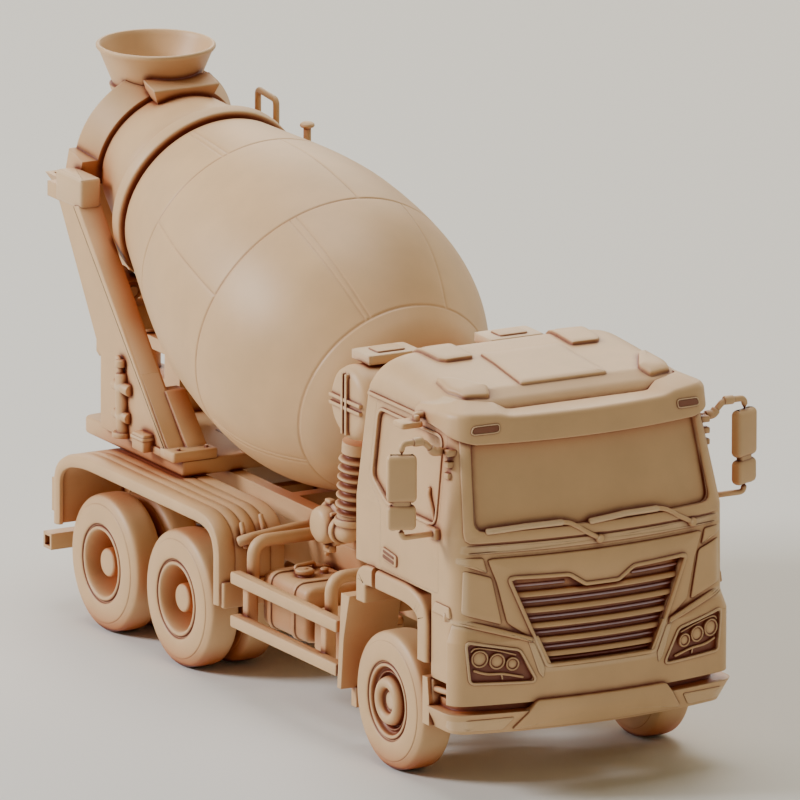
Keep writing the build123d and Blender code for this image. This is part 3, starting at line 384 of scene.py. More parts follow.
def piece(name, shells, replaces=(), sharp=38.0, body="truck", material=None):
    """One object from closed shells, riding a body and standing for CAD nodes.

    It is shaded smooth between edges sharper than the given angle.
    """
    verts, faces, count = [], [], 0
    for v, f in shells:
        verts.append(v)
        faces += [tuple(i + count for i in face) for face in f]
        count += len(v)
    mesh = bpy.data.meshes.new(name)
    mesh.from_pydata((np.concatenate(verts) * MM).tolist(), [], faces)
    work = bmesh.new()
    work.from_mesh(mesh)
    bmesh.ops.remove_doubles(work, verts=work.verts, dist=2e-7)
    work.to_mesh(mesh)
    work.free()
    mesh.polygons.foreach_set("use_smooth", np.ones(len(mesh.polygons), bool))
    mesh.set_sharp_from_angle(angle=math.radians(sharp))
    mesh.materials.append(material or resin())
    obj = bpy.data.objects.new(name, mesh)
    bpy.context.scene.collection.objects.link(obj)
    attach(obj, body)
    if replaces:
        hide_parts(*replaces)


# the drum's axis: its datum, its direction and the upward direction across it
DRUM_TILT = math.radians(16.9)
DRUM_FOOT = vec(0, at(40.0), 46.2)
DRUM_AXIS = vec(0, math.cos(DRUM_TILT), math.sin(DRUM_TILT))
DRUM_UP = vec(0, -math.sin(DRUM_TILT), math.cos(DRUM_TILT))


def round_drum(angles):
    """Directions out from the drum's axis, for angles from its top."""
    return np.cos(angles)[:, None] * DRUM_UP + np.sin(angles)[:, None] * vec(1, 0, 0)


# ---------------------------------------------------------------- materials
def node(tree, kind, links=(), **settings):
    """Adds a node, sets its properties and sockets, and links (output, input name) pairs into it."""
    made = tree.nodes.new(kind)
    for key, value in settings.items():
        if hasattr(made, key):
            setattr(made, key, value)
        else:
            made.inputs[key.replace("_", " ")].default_value = value
    for source, target in links:
        tree.links.new(source, made.inputs[target])
    return made


def rgba(values):
    """Red, green and blue with full cover added."""
    return (*values, 1.0)


def mask(tree, source, low, high, strength):
    """A range node that falls from a strength at the low value to nothing at the high one."""
    made = node(tree, "ShaderNodeMapRange", [(source, "Value")])
    for key, value in (("From Min", low), ("From Max", high), ("To Min", strength), ("To Max", 0.0)):
        made.inputs[key].default_value = value
    return made


def cast_resin(name, base, finish, shade_and_highlight=True):
    """Matte polyurethane resin with shade and highlights painted into its colour.

    The eye gets a soft, even tan with a faint cloudiness, painted red-brown shade in the corners, painted
    orange shade around them and painted highlights on the outer edges.
    """
    found = bpy.data.materials.get(name)
    if found:
        return found
    material = bpy.data.materials.new(name)
    material.use_nodes = True
    tree = material.node_tree
    tree.nodes.clear()
    out = node(tree, "ShaderNodeOutputMaterial")
    shader = node(tree, "ShaderNodeBsdfPrincipled", Roughness=0.47, IOR=1.5)
    place = node(tree, "ShaderNodeTexCoord").outputs["Object"]
    # clouds about 9 mm across, as pigment settles in a casting
    cloud = node(tree, "ShaderNodeTexNoise", [(place, "Vector")], Scale=110.0, Detail=3.0, Roughness=0.55)
    tone = node(tree, "ShaderNodeValToRGB", [(cloud.outputs["Fac"], "Fac")])
    tone.color_ramp.elements[0].position, tone.color_ramp.elements[1].position = 0.3, 0.72
    tone.color_ramp.elements[0].color = rgba([c * 0.93 for c in base])
    tone.color_ramp.elements[1].color = rgba([min(c * 1.05, 1.0) for c in base])
    # painted shade: orange over the hollows, out to the orange shade's reach
    wide = node(tree, "ShaderNodeAmbientOcclusion", samples=8, Distance=finish.stain * MM)
    orange_shade_mask = mask(tree, wide.outputs["AO"], 0.22, 0.92, 0.95)
    # painted shade: red-brown in the crevices, over a short reach
    close = node(tree, "ShaderNodeAmbientOcclusion", samples=10, Distance=finish.crevice * MM)
    # the painted crevice shade breaks up over about 2 mm
    shade_breakup = node(tree, "ShaderNodeTexNoise", [(place, "Vector")], Scale=480.0, Detail=2.0)
    shift = node(tree, "ShaderNodeMath", [(shade_breakup.outputs["Fac"], 0)], operation="MULTIPLY_ADD")
    shift.inputs[1].default_value, shift.inputs[2].default_value = 0.12, -0.06
    uneven = node(tree, "ShaderNodeMath", [(close.outputs["AO"], 0), (shift.outputs[0], 1)], operation="ADD")
    crevice_shade_mask = mask(tree, uneven.outputs[0], 0.58, 0.93, 0.96)
    # painted highlight: paler colour on convex edges
    edge = node(tree, "ShaderNodeAmbientOcclusion", samples=4, inside=True, Distance=0.32 * MM)
    edge_highlight_mask = mask(tree, edge.outputs["AO"], 0.05, 0.6, 0.55)
    previous = tone.outputs["Color"]
    # painted layers in order: orange shade, edge highlight, crevice shade; the dark slot resin takes only the
    # crevice shade
    layers = [(orange_shade_mask, finish.orange_shade_tint), (edge_highlight_mask, finish.edge_highlight), (crevice_shade_mask, finish.shade)]
    for share, tint in layers if shade_and_highlight else layers[2:]:
        mix = node(
            tree, "ShaderNodeMix", [(share.outputs["Result"], "Factor"), (previous, 6)], data_type="RGBA"
        )
        mix.inputs[7].default_value = rgba(tint)
        previous = mix.outputs[2]
    tree.links.new(previous, shader.inputs["Base Color"])
    # matte skin: grain about 0.25 mm, drawn a little coarser than the real one so that it shows
    grain = node(tree, "ShaderNodeTexNoise", [(place, "Vector")], Scale=3600.0, Detail=3.0, Roughness=0.6)
    soft = node(tree, "ShaderNodeBevel", samples=6, Radius=finish.softness * MM)
    bump = node(
        tree, "ShaderNodeBump", [(grain.outputs["Fac"], "Height"), (soft.outputs["Normal"], "Normal")],
        Strength=0.22, Distance=0.00006,
    )
    tree.links.new(bump.outputs["Normal"], shader.inputs["Normal"])
    tree.links.new(shader.outputs["BSDF"], out.inputs["Surface"])
    return material


def resin():
    """The resin that nearly the whole model is cast in, with painted shade in its hollows and painted
    highlights on its edges.
    """
    finish = bpy.context.scene.mixer_truck.finish
    return cast_resin("tan_resin_with_painted_shade", finish.body, finish)


def shaded_slot_resin():
    """The resin darkened nearly to the crevice shade colour: painted shade standing in for a slot or recess.
    """
    finish = bpy.context.scene.mixer_truck.finish
    # painted shade: 86 parts crevice shade colour to 14 parts resin
    base = [0.14 * a + 0.86 * b for a, b in zip(finish.body, finish.shade)]
    return cast_resin("resin_darkened_as_painted_shade", base, finish, shade_and_highlight=False)


def violet_sheen_resin():
    """Pale violet-grey: a painted sheen on the grille's fins, seen between the slats, with the painted shade
    layers on top.
    """
    finish = bpy.context.scene.mixer_truck.finish
    return cast_resin("resin_with_painted_violet_sheen", finish.violet_sheen, finish)


# ---------------------------------------------------------------- surfaces that pieces lie on
DECK_TOP = 30.4
CAB_BACK = 10.9
CAB_BOW = 3.5
CAB_CORNER = 3.0
# the roof: height of its eaves, half width, and its middle and reach along the truck
EAVES, ROOF_HALF, ROOF_MIDDLE, ROOF_REACH = 58.3, 21.98, -4.3, 15.28
# level sections, one row each: height, half width, front edge at the sides
CAB_LEVELS = np.array([(18.0, 24.0, -20.7), (41.6, 24.0, -20.3), (58.4, 21.9, -16.2)])
BUMPER_LEVELS = np.array([(15.0, 24.8, -21.2), (25.0, 24.8, -21.2), (29.4, 23.6, -20.0)])
LIP_LEVELS = np.array([(10.2, 23.8, -20.2), (13.7, 25.2, -21.6), (15.2, 25.2, -21.6)])
# outlines seen from the front (x, z) and from the side (y behind the front axle, z)
GLASS = even([(-20.9, 42.4), (-19.6, 57.0)])
GRILLE = even([(-9.4, 20.7), (-15.4, 34.8), (-5.7, 34.5), (-3.0, 32.7)])
LAMP = ((11.6, 18.4), (14.2, 23.3), (22.4, 25.0), (21.8, 18.8))
PANE = ((-14.0, 42.6), (-13.2, 55.9), (6.8, 55.9), (6.5, 45.6), (1.0, 42.6))


def bowed_face(levels):
    """Surface of a bowed front, for x across it and z up it, from its table of level sections.

    y is the front edge at that height less bow * (1 - (x / half)^2), turned back by a circular corner
    near the flank.
    """
    def place(x, z):
        half, front = (np.interp(z, levels[:, 0], levels[:, k]) for k in (1, 2))
        past = np.clip(np.abs(x) - (half - CAB_CORNER), 0, CAB_CORNER - 0.1)
        y = front - CAB_BOW * (1 - (x / half) ** 2) + CAB_CORNER - np.sqrt(CAB_CORNER**2 - past**2)
        return np.stack([x, at(y), z], -1)

    def surface(x, z):
        here = place(x, z)
        normal = np.cross(place(x + 0.05, z) - here, place(x, z + 0.05) - here)
        return here, normal / np.linalg.norm(normal, axis=-1, keepdims=True)
    return surface


cab_front, bumper_front, lip_front = (bowed_face(t) for t in (CAB_LEVELS, BUMPER_LEVELS, LIP_LEVELS))


def cab_flank(side):
    """Surface of one flank of the cab, for y along it and z up it: x is the half width at that height."""
    def surface(y, z):
        half = np.interp(z, CAB_LEVELS[:, 0], CAB_LEVELS[:, 1])
        lean = (np.interp(z + 0.1, CAB_LEVELS[:, 0], CAB_LEVELS[:, 1]) - half) / 0.1
        normal = np.stack([side + 0 * z, 0 * z, -lean], -1)
        return np.stack([side * half, at(y), z], -1), normal / np.linalg.norm(normal, axis=-1, keepdims=True)
    return surface


def cab_outline(half, front, back=CAB_BACK, corner=CAB_CORNER):
    """Level section of the cab as (x, y behind the front axle).

    A rectangle with rounded corners whose points move forwards by bow * (1 - (x / half)^2), all of it
    at the front edge and none at the back.
    """
    box = rounded([(half, back), (half, front), (-half, front), (-half, back)], [0.6, corner, corner, 0.6], 9)
    box = divided(box, 1.0)
    share = (back - box[:, 1]) / (back - front)
    return np.stack([box[:, 0], box[:, 1] - CAB_BOW * (1 - (box[:, 0] / half) ** 2) * share], 1)


def roof_top(x, y):
    """Height of the roof: a crown that falls forwards, times a superellipse across and along.

    z = eaves + (crown(y) - eaves) * sqrt(1 - |x / half|^8) * sqrt(1 - |(y - middle) / reach|^14), the last
    factor behind the middle only.
    """
    crown = np.interp(
        y, [-21.0, -16.0, -15.5, -14.4, -11.6, 1.3, 10.9], [59.3, 59.3, 60.3, 61.3, 62.4, 63.7, 64.4]
    )
    across = np.sqrt(np.clip(1 - np.abs(x / ROOF_HALF) ** 8, 0, 1))
    along = np.sqrt(np.clip(1 - np.abs((y - ROOF_MIDDLE) / ROOF_REACH) ** 14, 0, 1))
    along = np.where(y < ROOF_MIDDLE, 1.0, along)
    return EAVES + (crown - EAVES) * across * along


def level(x, y, z):
    """Places at the heights z, with normals that point straight up."""
    here = np.stack([x, at(y), z], -1)
    return here, np.broadcast_to(vec(0, 0, 1), here.shape)


def roof_surface(x, y):
    """The roof as a surface for x across it and y along it."""
    return level(x, y, roof_top(x, y))


def deck_top(x, y):
    """The mixer deck's flat top as a surface."""
    return level(x, y, DECK_TOP + 0 * x)


def radial(outline, centre, steps):
    """The outline met by evenly spaced rays from a centre."""
    p = divided(outline, 0.25) - vec(*centre)
    a = np.arctan2(p[:, 1], p[:, 0])
    order = np.argsort(a)
    rays = np.linspace(-np.pi, np.pi, steps, endpoint=False)
    reach = np.interp(rays, a[order], np.linalg.norm(p, axis=1)[order], period=2 * np.pi)
    return vec(*centre) + reach[:, None] * np.stack([np.cos(rays), np.sin(rays)], 1)


def framed(surface, outer, inner, sink, rise, bevel=0.2, steps=160):
    """Raised border between two outlines on a surface, both met by rays from the inner one's middle.

    Its wall climbs from `sink` below the surface, turns over rounded edges at `rise` above it and goes
    down again inside.
    """
    centre = (np.max(inner, 0) + np.min(inner, 0)) / 2
    out, core = radial(outer, centre, steps), radial(inner, centre, steps)
    turn = np.linspace(0, np.pi / 2, 3)
    layers = [(out, -sink)]
    layers += [(inset(out, bevel * (1 - math.cos(a))), rise - bevel * (1 - math.sin(a))) for a in turn]
    layers += [(inset(core, -bevel * (1 - math.sin(a))), rise - bevel * (1 - math.cos(a))) for a in turn]
    return sheet(raised(surface, [*layers, (core, -sink)]), wrap_rows=True)


def arch_line(front, front_low, rear, rear_low, top, front_r, rear_r):
    """Side view of a wheel arch as points (0, y, z), its two upper corners rounded."""
    corners = [(front, front_low), (front, top), (rear, top), (rear, rear_low)]
    line = divided(rounded(corners, [0, front_r, rear_r, 0], 14, closed=False), 1.2, closed=False)
    apart = np.linalg.norm(np.diff(line, axis=0), axis=1) > 0.15
    line = line[np.append(apart, True)]
    return np.stack([0 * line[:, 0], at(line[:, 0]), line[:, 1]], 1)


def stud(place, normal, radius, height, steps=12, dome=0.3):
    """Small round boss: a turned cylinder with a domed top."""
    profile = [
        (-0.3, 0), (-0.3, radius), (height * (1 - dome), radius), (height * 0.93, radius * 0.78), (height, 0),
    ]
    return lathe(profile, place, normal, steps)


# ---------------------------------------------------------------- operators
class MIXER_OT_wheels(bpy.types.Operator):
    """Turns the tyres with their rims: dished twin wheels at the rear, domed hubs at the front"""

    bl_idname = "mixer.wheels"
    bl_label = "Wheels"

    def execute(self, context):
        size = context.scene.mixer_truck.wheels
        rim = size.rim_r
        for name, side in (("right", -1), ("left", 1)):
            front = self.tyre(size.front_width, rim) + self.front_rim(rim)
            self.turn(f"front_wheel_{name}", side, size.front_face, 0.0, front)
            for number, axle in REAR_AXLES.items():
                twin = size.rear_width + size.twin_gap
                rear = self.tyre(size.rear_width, rim) + self.rear_rim(rim, size.rear_width)
                inner = self.tyre(size.rear_width, rim, twin) + self.back_rim(rim, size.rear_width, twin)
                self.turn(f"rear_wheels_{number}_{name}", side, size.rear_face, axle, rear + inner)
        return {"FINISHED"}

    def tyre(self, width, rim, depth=0.0):
        """Closed tyre profile as (depth behind the outer face, radius): flat crown, full shoulders,
        bulged sidewalls and a groove above the bead."""
        half = [
            (0.8, rim + 0.05), (0.46, rim + 0.1), (0.4, rim + 0.3), (0.12, rim + 0.48), (0.0, rim + 1.2),
            (0.02, rim + 2.4), (0.14, TYRE_R - 1.65), (0.26, TYRE_R - 1.5), (0.3, TYRE_R - 1.32),
            (0.62, TYRE_R - 0.62), (0.95, TYRE_R - 0.24), (1.5, TYRE_R - 0.07), (2.2, TYRE_R - 0.01),
            (width / 2, TYRE_R),
        ]
        outer = curve(half, 3)
        inner = outer[::-1][1:] * vec(-1, 1) + vec(width, 0)
        return [np.vstack([outer, inner]) + vec(depth, 0)]

    def front_rim(self, rim):
        """Closed front rim profile: rolled lip, narrow well, domed hub ring and a sunken centre disc."""
        face = [
            (6.0, rim - 0.55), (0.9, rim + 0.12), (0.35, rim - 0.02), (0.18, rim - 0.28), (0.34, rim - 0.58),
            (0.95, rim - 0.74), (1.2, rim - 1.0), (1.05, rim - 1.22), (0.8, rim - 1.42), (1.05, rim - 1.62),
            (1.6, rim - 1.8), (1.55, 3.98), (0.7, 3.88), (0.05, 3.62), (-0.3, 3.22), (-0.36, 2.75),
            (-0.16, 2.3), (0.25, 2.02), (0.82, 1.9), (0.92, 1.62), (0.74, 1.4), (0.7, 0.9), (0.72, 0.0),
        ]
        return [np.vstack([[(6.0, 0.0)], face[:1], curve(face[1:], 4)])]

    def rear_rim(self, rim, width):
        """Closed rear rim profile: rolled lip, long tapered dish and a flat hub drum standing in it."""
        face = [
            (0.85, rim + 0.12), (0.32, rim - 0.02), (0.12, rim - 0.3), (0.26, rim - 0.62), (0.9, rim - 0.84),
            (2.6, rim - 1.08), (4.4, rim - 1.42), (5.1, rim - 1.72), (5.2, rim - 2.6), (5.1, 2.62),
            (3.6, 2.36), (1.7, 2.3), (1.28, 2.16), (1.12, 1.86), (1.06, 1.0), (1.04, 0.0),
        ]
        back = [(width + 0.2, 0.0), (width + 0.2, rim - 0.6), (width - 0.8, rim + 0.1)]
        return [np.vstack([back, curve(face, 4)])]

    def back_rim(self, rim, width, depth):
        """Closed inner-wheel rim profile: a plain tube with a web in its middle."""
        front, back = depth - 0.6, depth + width - 0.5
        return [np.array([
            (front, 0.0), (front, rim - 0.6), (depth + 0.7, rim + 0.1), (back - 0.2, rim + 0.1),
            (back, rim - 0.2), (back - 0.3, rim - 0.9), (depth + 1.6, rim - 1.2), (depth + 1.4, 3.0),
            (depth + 1.4, 0.0),
        ])]

    def turn(self, node_name, side, face, axle, profiles):
        """Wheel on one side turned from its profiles; those that start at the axis are left open."""
        shells = []
        for profile in profiles:
            closed = profile[0, 1] > 0.01
            flipped = np.stack([side * (face - profile[:, 0]), profile[:, 1]], 1)
            shells.append(lathe(flipped, (0, at(axle), TYRE_R), X, 96, closed))
        piece(f"{node_name}_tyre_and_rim", shells, [node_name], body=node_name)


class MIXER_OT_drum(bpy.types.Operator):
    """Turns the mixing drum with its rolled seams, plate joints and roller ring"""

    bl_idname = "mixer.drum"
    bl_label = "Mixing drum"

    def execute(self, context):
        size = context.scene.mixer_truck.drum
        # the rolled seams' places along the axis, and the outer skin: place along the axis, radius
        seams = (2.4, 24.9, 50.1)
        skin = curve([
            (-6.0, 8.2), (-5.2, 10.0), (-3.6, 12.3), (-0.8, 15.0), (2.4, 16.8), (7.4, 19.5), (13.0, 21.7),
            (19.0, 22.95), (24.9, 23.3), (31.5, 23.1), (38.6, 22.4), (44.5, 21.25), (50.1, 19.8),
            (58.0, 17.45), (64.0, 15.65),
        ], 8)
        stations = np.unique(np.round(np.r_[
            np.linspace(skin[0, 0], skin[-1, 0], 90),
            *[seam + np.linspace(-0.45, 0.45, 9) for seam in seams],
        ], 3))
        radius = np.interp(stations, skin[:, 0], skin[:, 1])
        # plate joints: angle in degrees from the top, first and last station, number of welds side by side
        front = ((-25, 2), (24, 1), (80, 2), (137, 1), (-125, 2), (180, 1))
        joints = [(angle, 2.6, 24.6, count) for angle, count in front]
        joints += [(angle, 24.9, 50.1, 1) for angle in (-68, 4, 110, 170)]
        joints += [(angle, 50.1, 64.0, 2) for angle in (-24, 96, 216)]
        lines = [
            (math.radians(angle) + (k - (n - 1) / 2) * 0.05, a, b)
            for angle, a, b, n in joints for k in range(n)
        ]
        around = np.linspace(0, 2 * np.pi, 144, endpoint=False)
        near = np.concatenate([line + np.linspace(-0.016, 0.016, 5) for line, _, _ in lines]) % (2 * np.pi)
        angles = np.unique(np.round(np.r_[around, near], 4))
        depth = np.zeros((len(stations), len(angles)))
        for seam in seams:
            depth = np.maximum(depth, np.exp(-((stations - seam) / (size.seam_width / 2)) ** 2)[:, None])
        for line, a, b in lines:
            away = (angles - line + np.pi) % (2 * np.pi) - np.pi
            groove = np.exp(-((away[None] * radius[:, None]) / (size.seam_width / 2)) ** 2)
            inside = ((stations > a) & (stations < b))[:, None]
            depth = np.maximum(depth, 0.8 * groove * inside)
        shown = radius[:, None] - size.seam_depth * depth
        ring = round_drum(angles)
        outer = DRUM_FOOT + stations[:, None, None] * DRUM_AXIS + shown[..., None] * ring
        # the neck behind the seams and the inner wall are plain turned rows
        rows = vec(
            (64.0, 15.65), (64.4, 14.9), (65.0, 14.6), (67.4, 14.4), (67.9, 14.75), (72.0, 13.75),
            (79.2, 11.95), (79.6, 11.75), (79.6, 10.6), (67.0, 13.4), (50.1, 18.5), (24.9, 22.0),
            (2.4, 15.5), (-3.0, 9.4), (-4.7, 6.9), (-4.7, 0.0),
        )
        tail = DRUM_FOOT + rows[:, :1, None] * DRUM_AXIS + rows[:, 1:, None] * ring
        nose = DRUM_FOOT + skin[0, 0] * DRUM_AXIS + np.zeros((1, len(angles), 3))
        shells = [sheet(np.concatenate([nose, outer, tail]), caps=False)]
        band = rounded([(65.0, 13.9), (65.0, 16.3), (67.4, 16.3), (67.4, 13.9)], [0.1, 0.45, 0.45, 0.1], 5)
        shells.append(lathe(band, DRUM_FOOT, DRUM_AXIS, 144, closed=True))
        flange = rounded([(-7.6, 0), (-7.6, 5.2), (-5.9, 5.2), (-5.9, 0)], [0.01, 0.3, 0.1, 0.01], 4)
        shells.append(lathe(flange[3:-3], DRUM_FOOT, DRUM_AXIS, 64))
        shaft = [(-11.6, 0), (-11.6, 2.2), (-11.4, 2.4), (-7.4, 2.4), (-7.4, 0)]
        shells.append(lathe(shaft, DRUM_FOOT, DRUM_AXIS, 48))
        head = [(-7.95, 0), (-7.95, 0.36), (-7.85, 0.5), (-7.5, 0.5), (-7.5, 0)]
        places = DRUM_FOOT + 4.1 * round_drum(np.linspace(0, 2 * np.pi, 10, endpoint=False))
        bolts = [lathe(head, place, DRUM_AXIS, 6) for place in places]
        piece("mixing_drum_shell", shells + bolts, ["drum"], 50, "drum")
        return {"FINISHED"}


class MIXER_OT_roof(bpy.types.Operator):
    """Forms the roof with its raised panels, corner pods and the wrap-around sun visor"""

    bl_idname = "mixer.roof"
    bl_label = "Roof and visor"

    def execute(self, context):
        eaves = cab_outline(21.97, -16.27, CAB_BACK + 0.07)
        heart = vec(0, -3.0)
        rings = [heart + (eaves - heart) * s for s in np.sin(np.linspace(np.pi / 2, 0.02, 44))]
        crown = np.stack([np.stack([r[:, 0], at(r[:, 1]), roof_top(r[:, 0], r[:, 1])], 1) for r in rings])
        foot = np.stack([eaves[:, 0], at(eaves[:, 1]), 0 * eaves[:, 0] + 57.9], 1)[None]
        shells = [sheet(np.concatenate([foot, crown]))]
        panel = [(-7.7, -12.0), (7.7, -12.0), (7.0, -2.0), (7.0, 2.4), (-7.0, 2.4), (-7.0, -2.0)]
        shells.append(on_surface(roof_surface, panel, 0.6, 0.5, 0.42, 0.3, rings=5))
        shells += both(
            on_surface(
                roof_surface, [(8.8, 1.2), (13.4, 1.2), (14.3, 2.4), (14.9, 10.2), (8.8, 10.2)], 0.4,
                0.5, 0.6, 0.25, rings=3,
            ),
            on_surface(
                roof_surface,
                [(13.4, -11.6), (14.3, -14.0), (18.2, -13.0), (19.2, -9.4), (18.6, -4.4), (16.8, -5.6)], 0.6,
                0.7, 0.75, 0.3, rings=3,
            ),
        )
        piece("cab_roof", shells, ["roof"], sharp=42)
        piece("sun_visor_band", [self.visor()], ["sun_visor"], sharp=35)
        slot = rounded([(15.9, 57.7), (20.0, 57.5), (19.7, 58.5), (15.8, 58.75)], 0.35)
        visor_face = bowed_face(vec((55.0, 22.9, -18.2), (60.0, 22.4, -17.5)))
        slots = both(on_surface(visor_face, slot, 0, 0.3, 0.3, 0.02, spacing=0.5))
        rims = both(framed(visor_face, inset(slot, -0.22), slot, 0.3, 0.38, 0.1, 60))
        # painted shade: the visor's slots are dark pads standing in for openings
        piece("visor_slots", slots, sharp=60, material=shaded_slot_resin())
        piece("visor_slot_rims", rims, sharp=60)
        return {"FINISHED"}

    def visor(self):
        """Band round the eaves: each station's section joins the outer face, a ledge and the roof's groove.

        The groove is a straight-sided line in plan that steps outwards at the corners, met at the same
        share of its length as the outer face.
        """
        outer = cab_outline(22.9, -18.2, corner=3.4)
        keep = outer[:, 1] < -5.0
        first = int(np.argmax(keep & ~np.roll(keep, 1)))
        outer = np.roll(outer, -first, 0)[: keep.sum()]
        walk = np.r_[0, np.cumsum(np.linalg.norm(np.diff(outer, axis=0), axis=1))]
        share = walk / walk[-1]
        knots = np.array([0, 0.1, 0.2, 0.27, 0.3, 0.7, 0.73, 0.8, 0.9, 1.0])
        plan = vec(*even([(19.9, -5.0), (19.6, -9.4), (18.8, -13.4), (14.2, -15.0), (12.4, -16.0)]))
        groove = np.stack([np.interp(share, knots, plan[:, k]) for k in (0, 1)], 1)
        low = np.interp(share, [0, 0.12, 0.22, 0.78, 0.88, 1], [57.9, 57.2, 55.6, 55.6, 57.2, 57.9])
        high = np.interp(share, knots, [59.3, 60.0, 60.5, 60.3, 59.9, 59.9, 60.3, 60.5, 60.0, 59.3])
        inner = np.interp(share, knots, [60.6, 61.5, 61.7, 61.2, 60.1, 60.1, 61.2, 61.7, 61.5, 60.6])
        slope = (high - low) * 0.12
        away = outer - groove
        away /= np.linalg.norm(away, axis=1, keepdims=True)
        corners = np.stack([
            np.c_[outer - 2.2 * away, low + 0.9],
            np.c_[outer, low],
            np.c_[outer - slope[:, None] * away, high],
            np.c_[groove, inner],
            np.c_[groove, inner - 2.2],
        ], 1)
        points = np.array([rounded(section, [0.3, 0.5, 0.9, 0.35, 0.2], 6) for section in corners])
        return sheet(points + FRONT)


class MIXER_OT_cab_front(bpy.types.Operator):
    """Forms the bonnet panel, corner panels, windscreen surround and the slatted grille"""

    bl_idname = "mixer.cab_front"
    bl_label = "Cab front"

    def execute(self, context):
        panel = even([(-19.0, 38.2), (-17.5, 34.3), (-15.9, 27.8), (-12.6, 25.3), (-10.4, 19.4)])
        opening, glass = rounded(GRILLE, 0.4), rounded(GLASS, 1.7)
        surround = rounded(even([(-22.5, 40.7), (-20.9, 58.0)]), 1.4)
        seam = even([(-22.9, 39.0), (-22.7, 40.4)])
        corner_panel = [(18.3, 35.2), (22.5, 36.5), (22.7, 29.5), (16.7, 27.6)]
        corner_vent = [(19.6, 38.4), (23.2, 38.5), (23.3, 37.5), (18.9, 35.9)]
        shells = [
            framed(cab_front, rounded(panel, 0.5), opening, 1.2, 0.42, 0.26, 240),
            framed(cab_front, surround, glass, 0.7, 0.5, 0.26, 240),
            on_surface(cab_front, seam, 0.3, 0.4, 0.2, 0.15),
            # bead round the grille
            framed(cab_front, inset(opening, -0.5), inset(opening, 0.12), 0.6, 0.72, 0.2, 240),
        ]
        shells += both(
            on_surface(cab_front, corner_panel, 0.5, 0.5, 0.34, 0.16),
            on_surface(cab_front, corner_vent, 0.3, 0.5, 0.34, 0.2),
        )
        piece("cab_front_panels", shells, sharp=48)
        back = on_surface(cab_front, GRILLE, 0.4, 1.7, -0.95, 0.05, rings=4)
        piece("radiator_ground", [back], ["grille"], sharp=60)
        slats, fins = [], []
        half, foot, lean = 9.4, 20.7, 0.425  # the opening's half width at its foot, and how fast it widens
        for z in (32.0, 29.4, 26.9, 24.5, 22.2):
            reach = half + 0.1 + (z - foot) * lean
            slats.append(self.slat(z, -reach, reach, 0.62))
        for z in (33.4, 30.7, 28.1, 25.7, 23.3, 21.3):
            reach = half + (z - foot) * lean
            # the topmost fin is parted by the notch in the opening
            for a, b in (((-reach, -6.0), (6.0, reach)) if z > 33 else ((-reach, reach),)):
                fins.append(self.slat(z, a, b, 0.3))
        piece("grille_slats", slats, sharp=50)
        # the fins carry the painted violet sheen
        piece("grille_fins", fins, sharp=50, material=violet_sheen_resin())
        return {"FINISHED"}

    def slat(self, z, start, end, size):
        """Bar across the grille: a leaning rounded section carried along the bowed face at one height."""
        x = np.linspace(start, end, 40)
        place, normal = cab_front(x, z + 0 * x)
        path = place - normal * (0.35 if size > 0.4 else 0.75)
        corners = [(-0.9, -0.3), (0.55, -0.75), (0.7, -0.35), (0.2, 0.55), (-0.9, 0.75)]
        return carried(path, rounded(corners, 0.3, 4) * size)


class MIXER_OT_bumper(bpy.types.Operator):
    """Adds the headlamps with their bezels, the air intake lip and the lower panel to the bumper"""

    bl_idname = "mixer.bumper"
    bl_label = "Bumper and headlamps"

    def execute(self, context):
        lamp = rounded(LAMP, 0.5)
        bezel = framed(bumper_front, inset(rounded(LAMP, 0.6), -0.45), lamp, 0.7, 0.24, 0.14, 160)
        ground = on_surface(bumper_front, inset(lamp, -0.15), 0, 0.75, -0.42, 0.05)
        # painted shade: the ground behind each lamp is coloured dark as a shaded recess
        piece("headlamp_grounds", both(ground), ["headlamps"], sharp=60, material=shaded_slot_resin())
        shells = [bezel]
        for x, z, r in ((20.5, 22.5, 1.42), (17.75, 21.95, 1.32), (15.25, 21.35, 1.12)):
            place, normal = bumper_front(vec(x), vec(z))
            profile = [
                (-0.7, 0), (-0.7, r), (0.02, r), (0.14, r - 0.1), (0.1, r - 0.26), (-0.12, r - 0.34),
                (-0.02, r * 0.5), (0.06, r * 0.25), (0.08, 0),
            ]
            shells.append(lathe(profile, place[0], normal[0], 40))
        for line, size in (
            (((21.5, 20.7), (19.4, 20.0), (16.6, 19.8), (13.4, 19.0)), 0.24),
            (((21.9, 23.6), (20.9, 24.2), (17.6, 23.6), (14.6, 22.7)), 0.18),
            (((17.0, 19.9), (16.8, 18.9)), 0.16),
        ):
            flat = curve(line, 5)
            place, normal = bumper_front(flat[:, 0], flat[:, 1])
            shells.append(rod(place - normal * 0.22, size, steps=10))
        piece("headlamps_and_bezels", both(*shells), sharp=40)
        step = even([(-15.0, 10.7), (-11.4, 15.3)])
        crease = [(9.9, 20.2), (11.7, 24.4), (12.8, 24.8), (11.0, 19.6), (10.2, 18.6)]
        brow = [(11.9, 24.5), (12.2, 25.4), (24.3, 29.3), (24.5, 28.1)]
        end_panel = [(16.4, 10.8), (14.9, 12.9), (24.6, 12.7), (24.0, 10.8)]
        lower = [on_surface(lip_front, step, 0.6, 0.9, 0.36, 0.24)]
        lower += both(
            on_surface(bumper_front, crease, 0.3, 0.4, 0.14, 0.1),
            bar([(23.6, -18.8, 16.6), (23.6, -13.6, 16.2)], 0.5),
            block((21.4, 24.2), (-14.0, -12.4), (10.6, 17.8), 0.3),
            on_surface(bumper_front, brow, 0.35, 0.5, 0.42, 0.25),
            on_surface(lip_front, end_panel, 0.4, 0.4, 0.2, 0.15),
        )
        piece("lower_bumper_panel", lower, sharp=45)
        return {"FINISHED"}


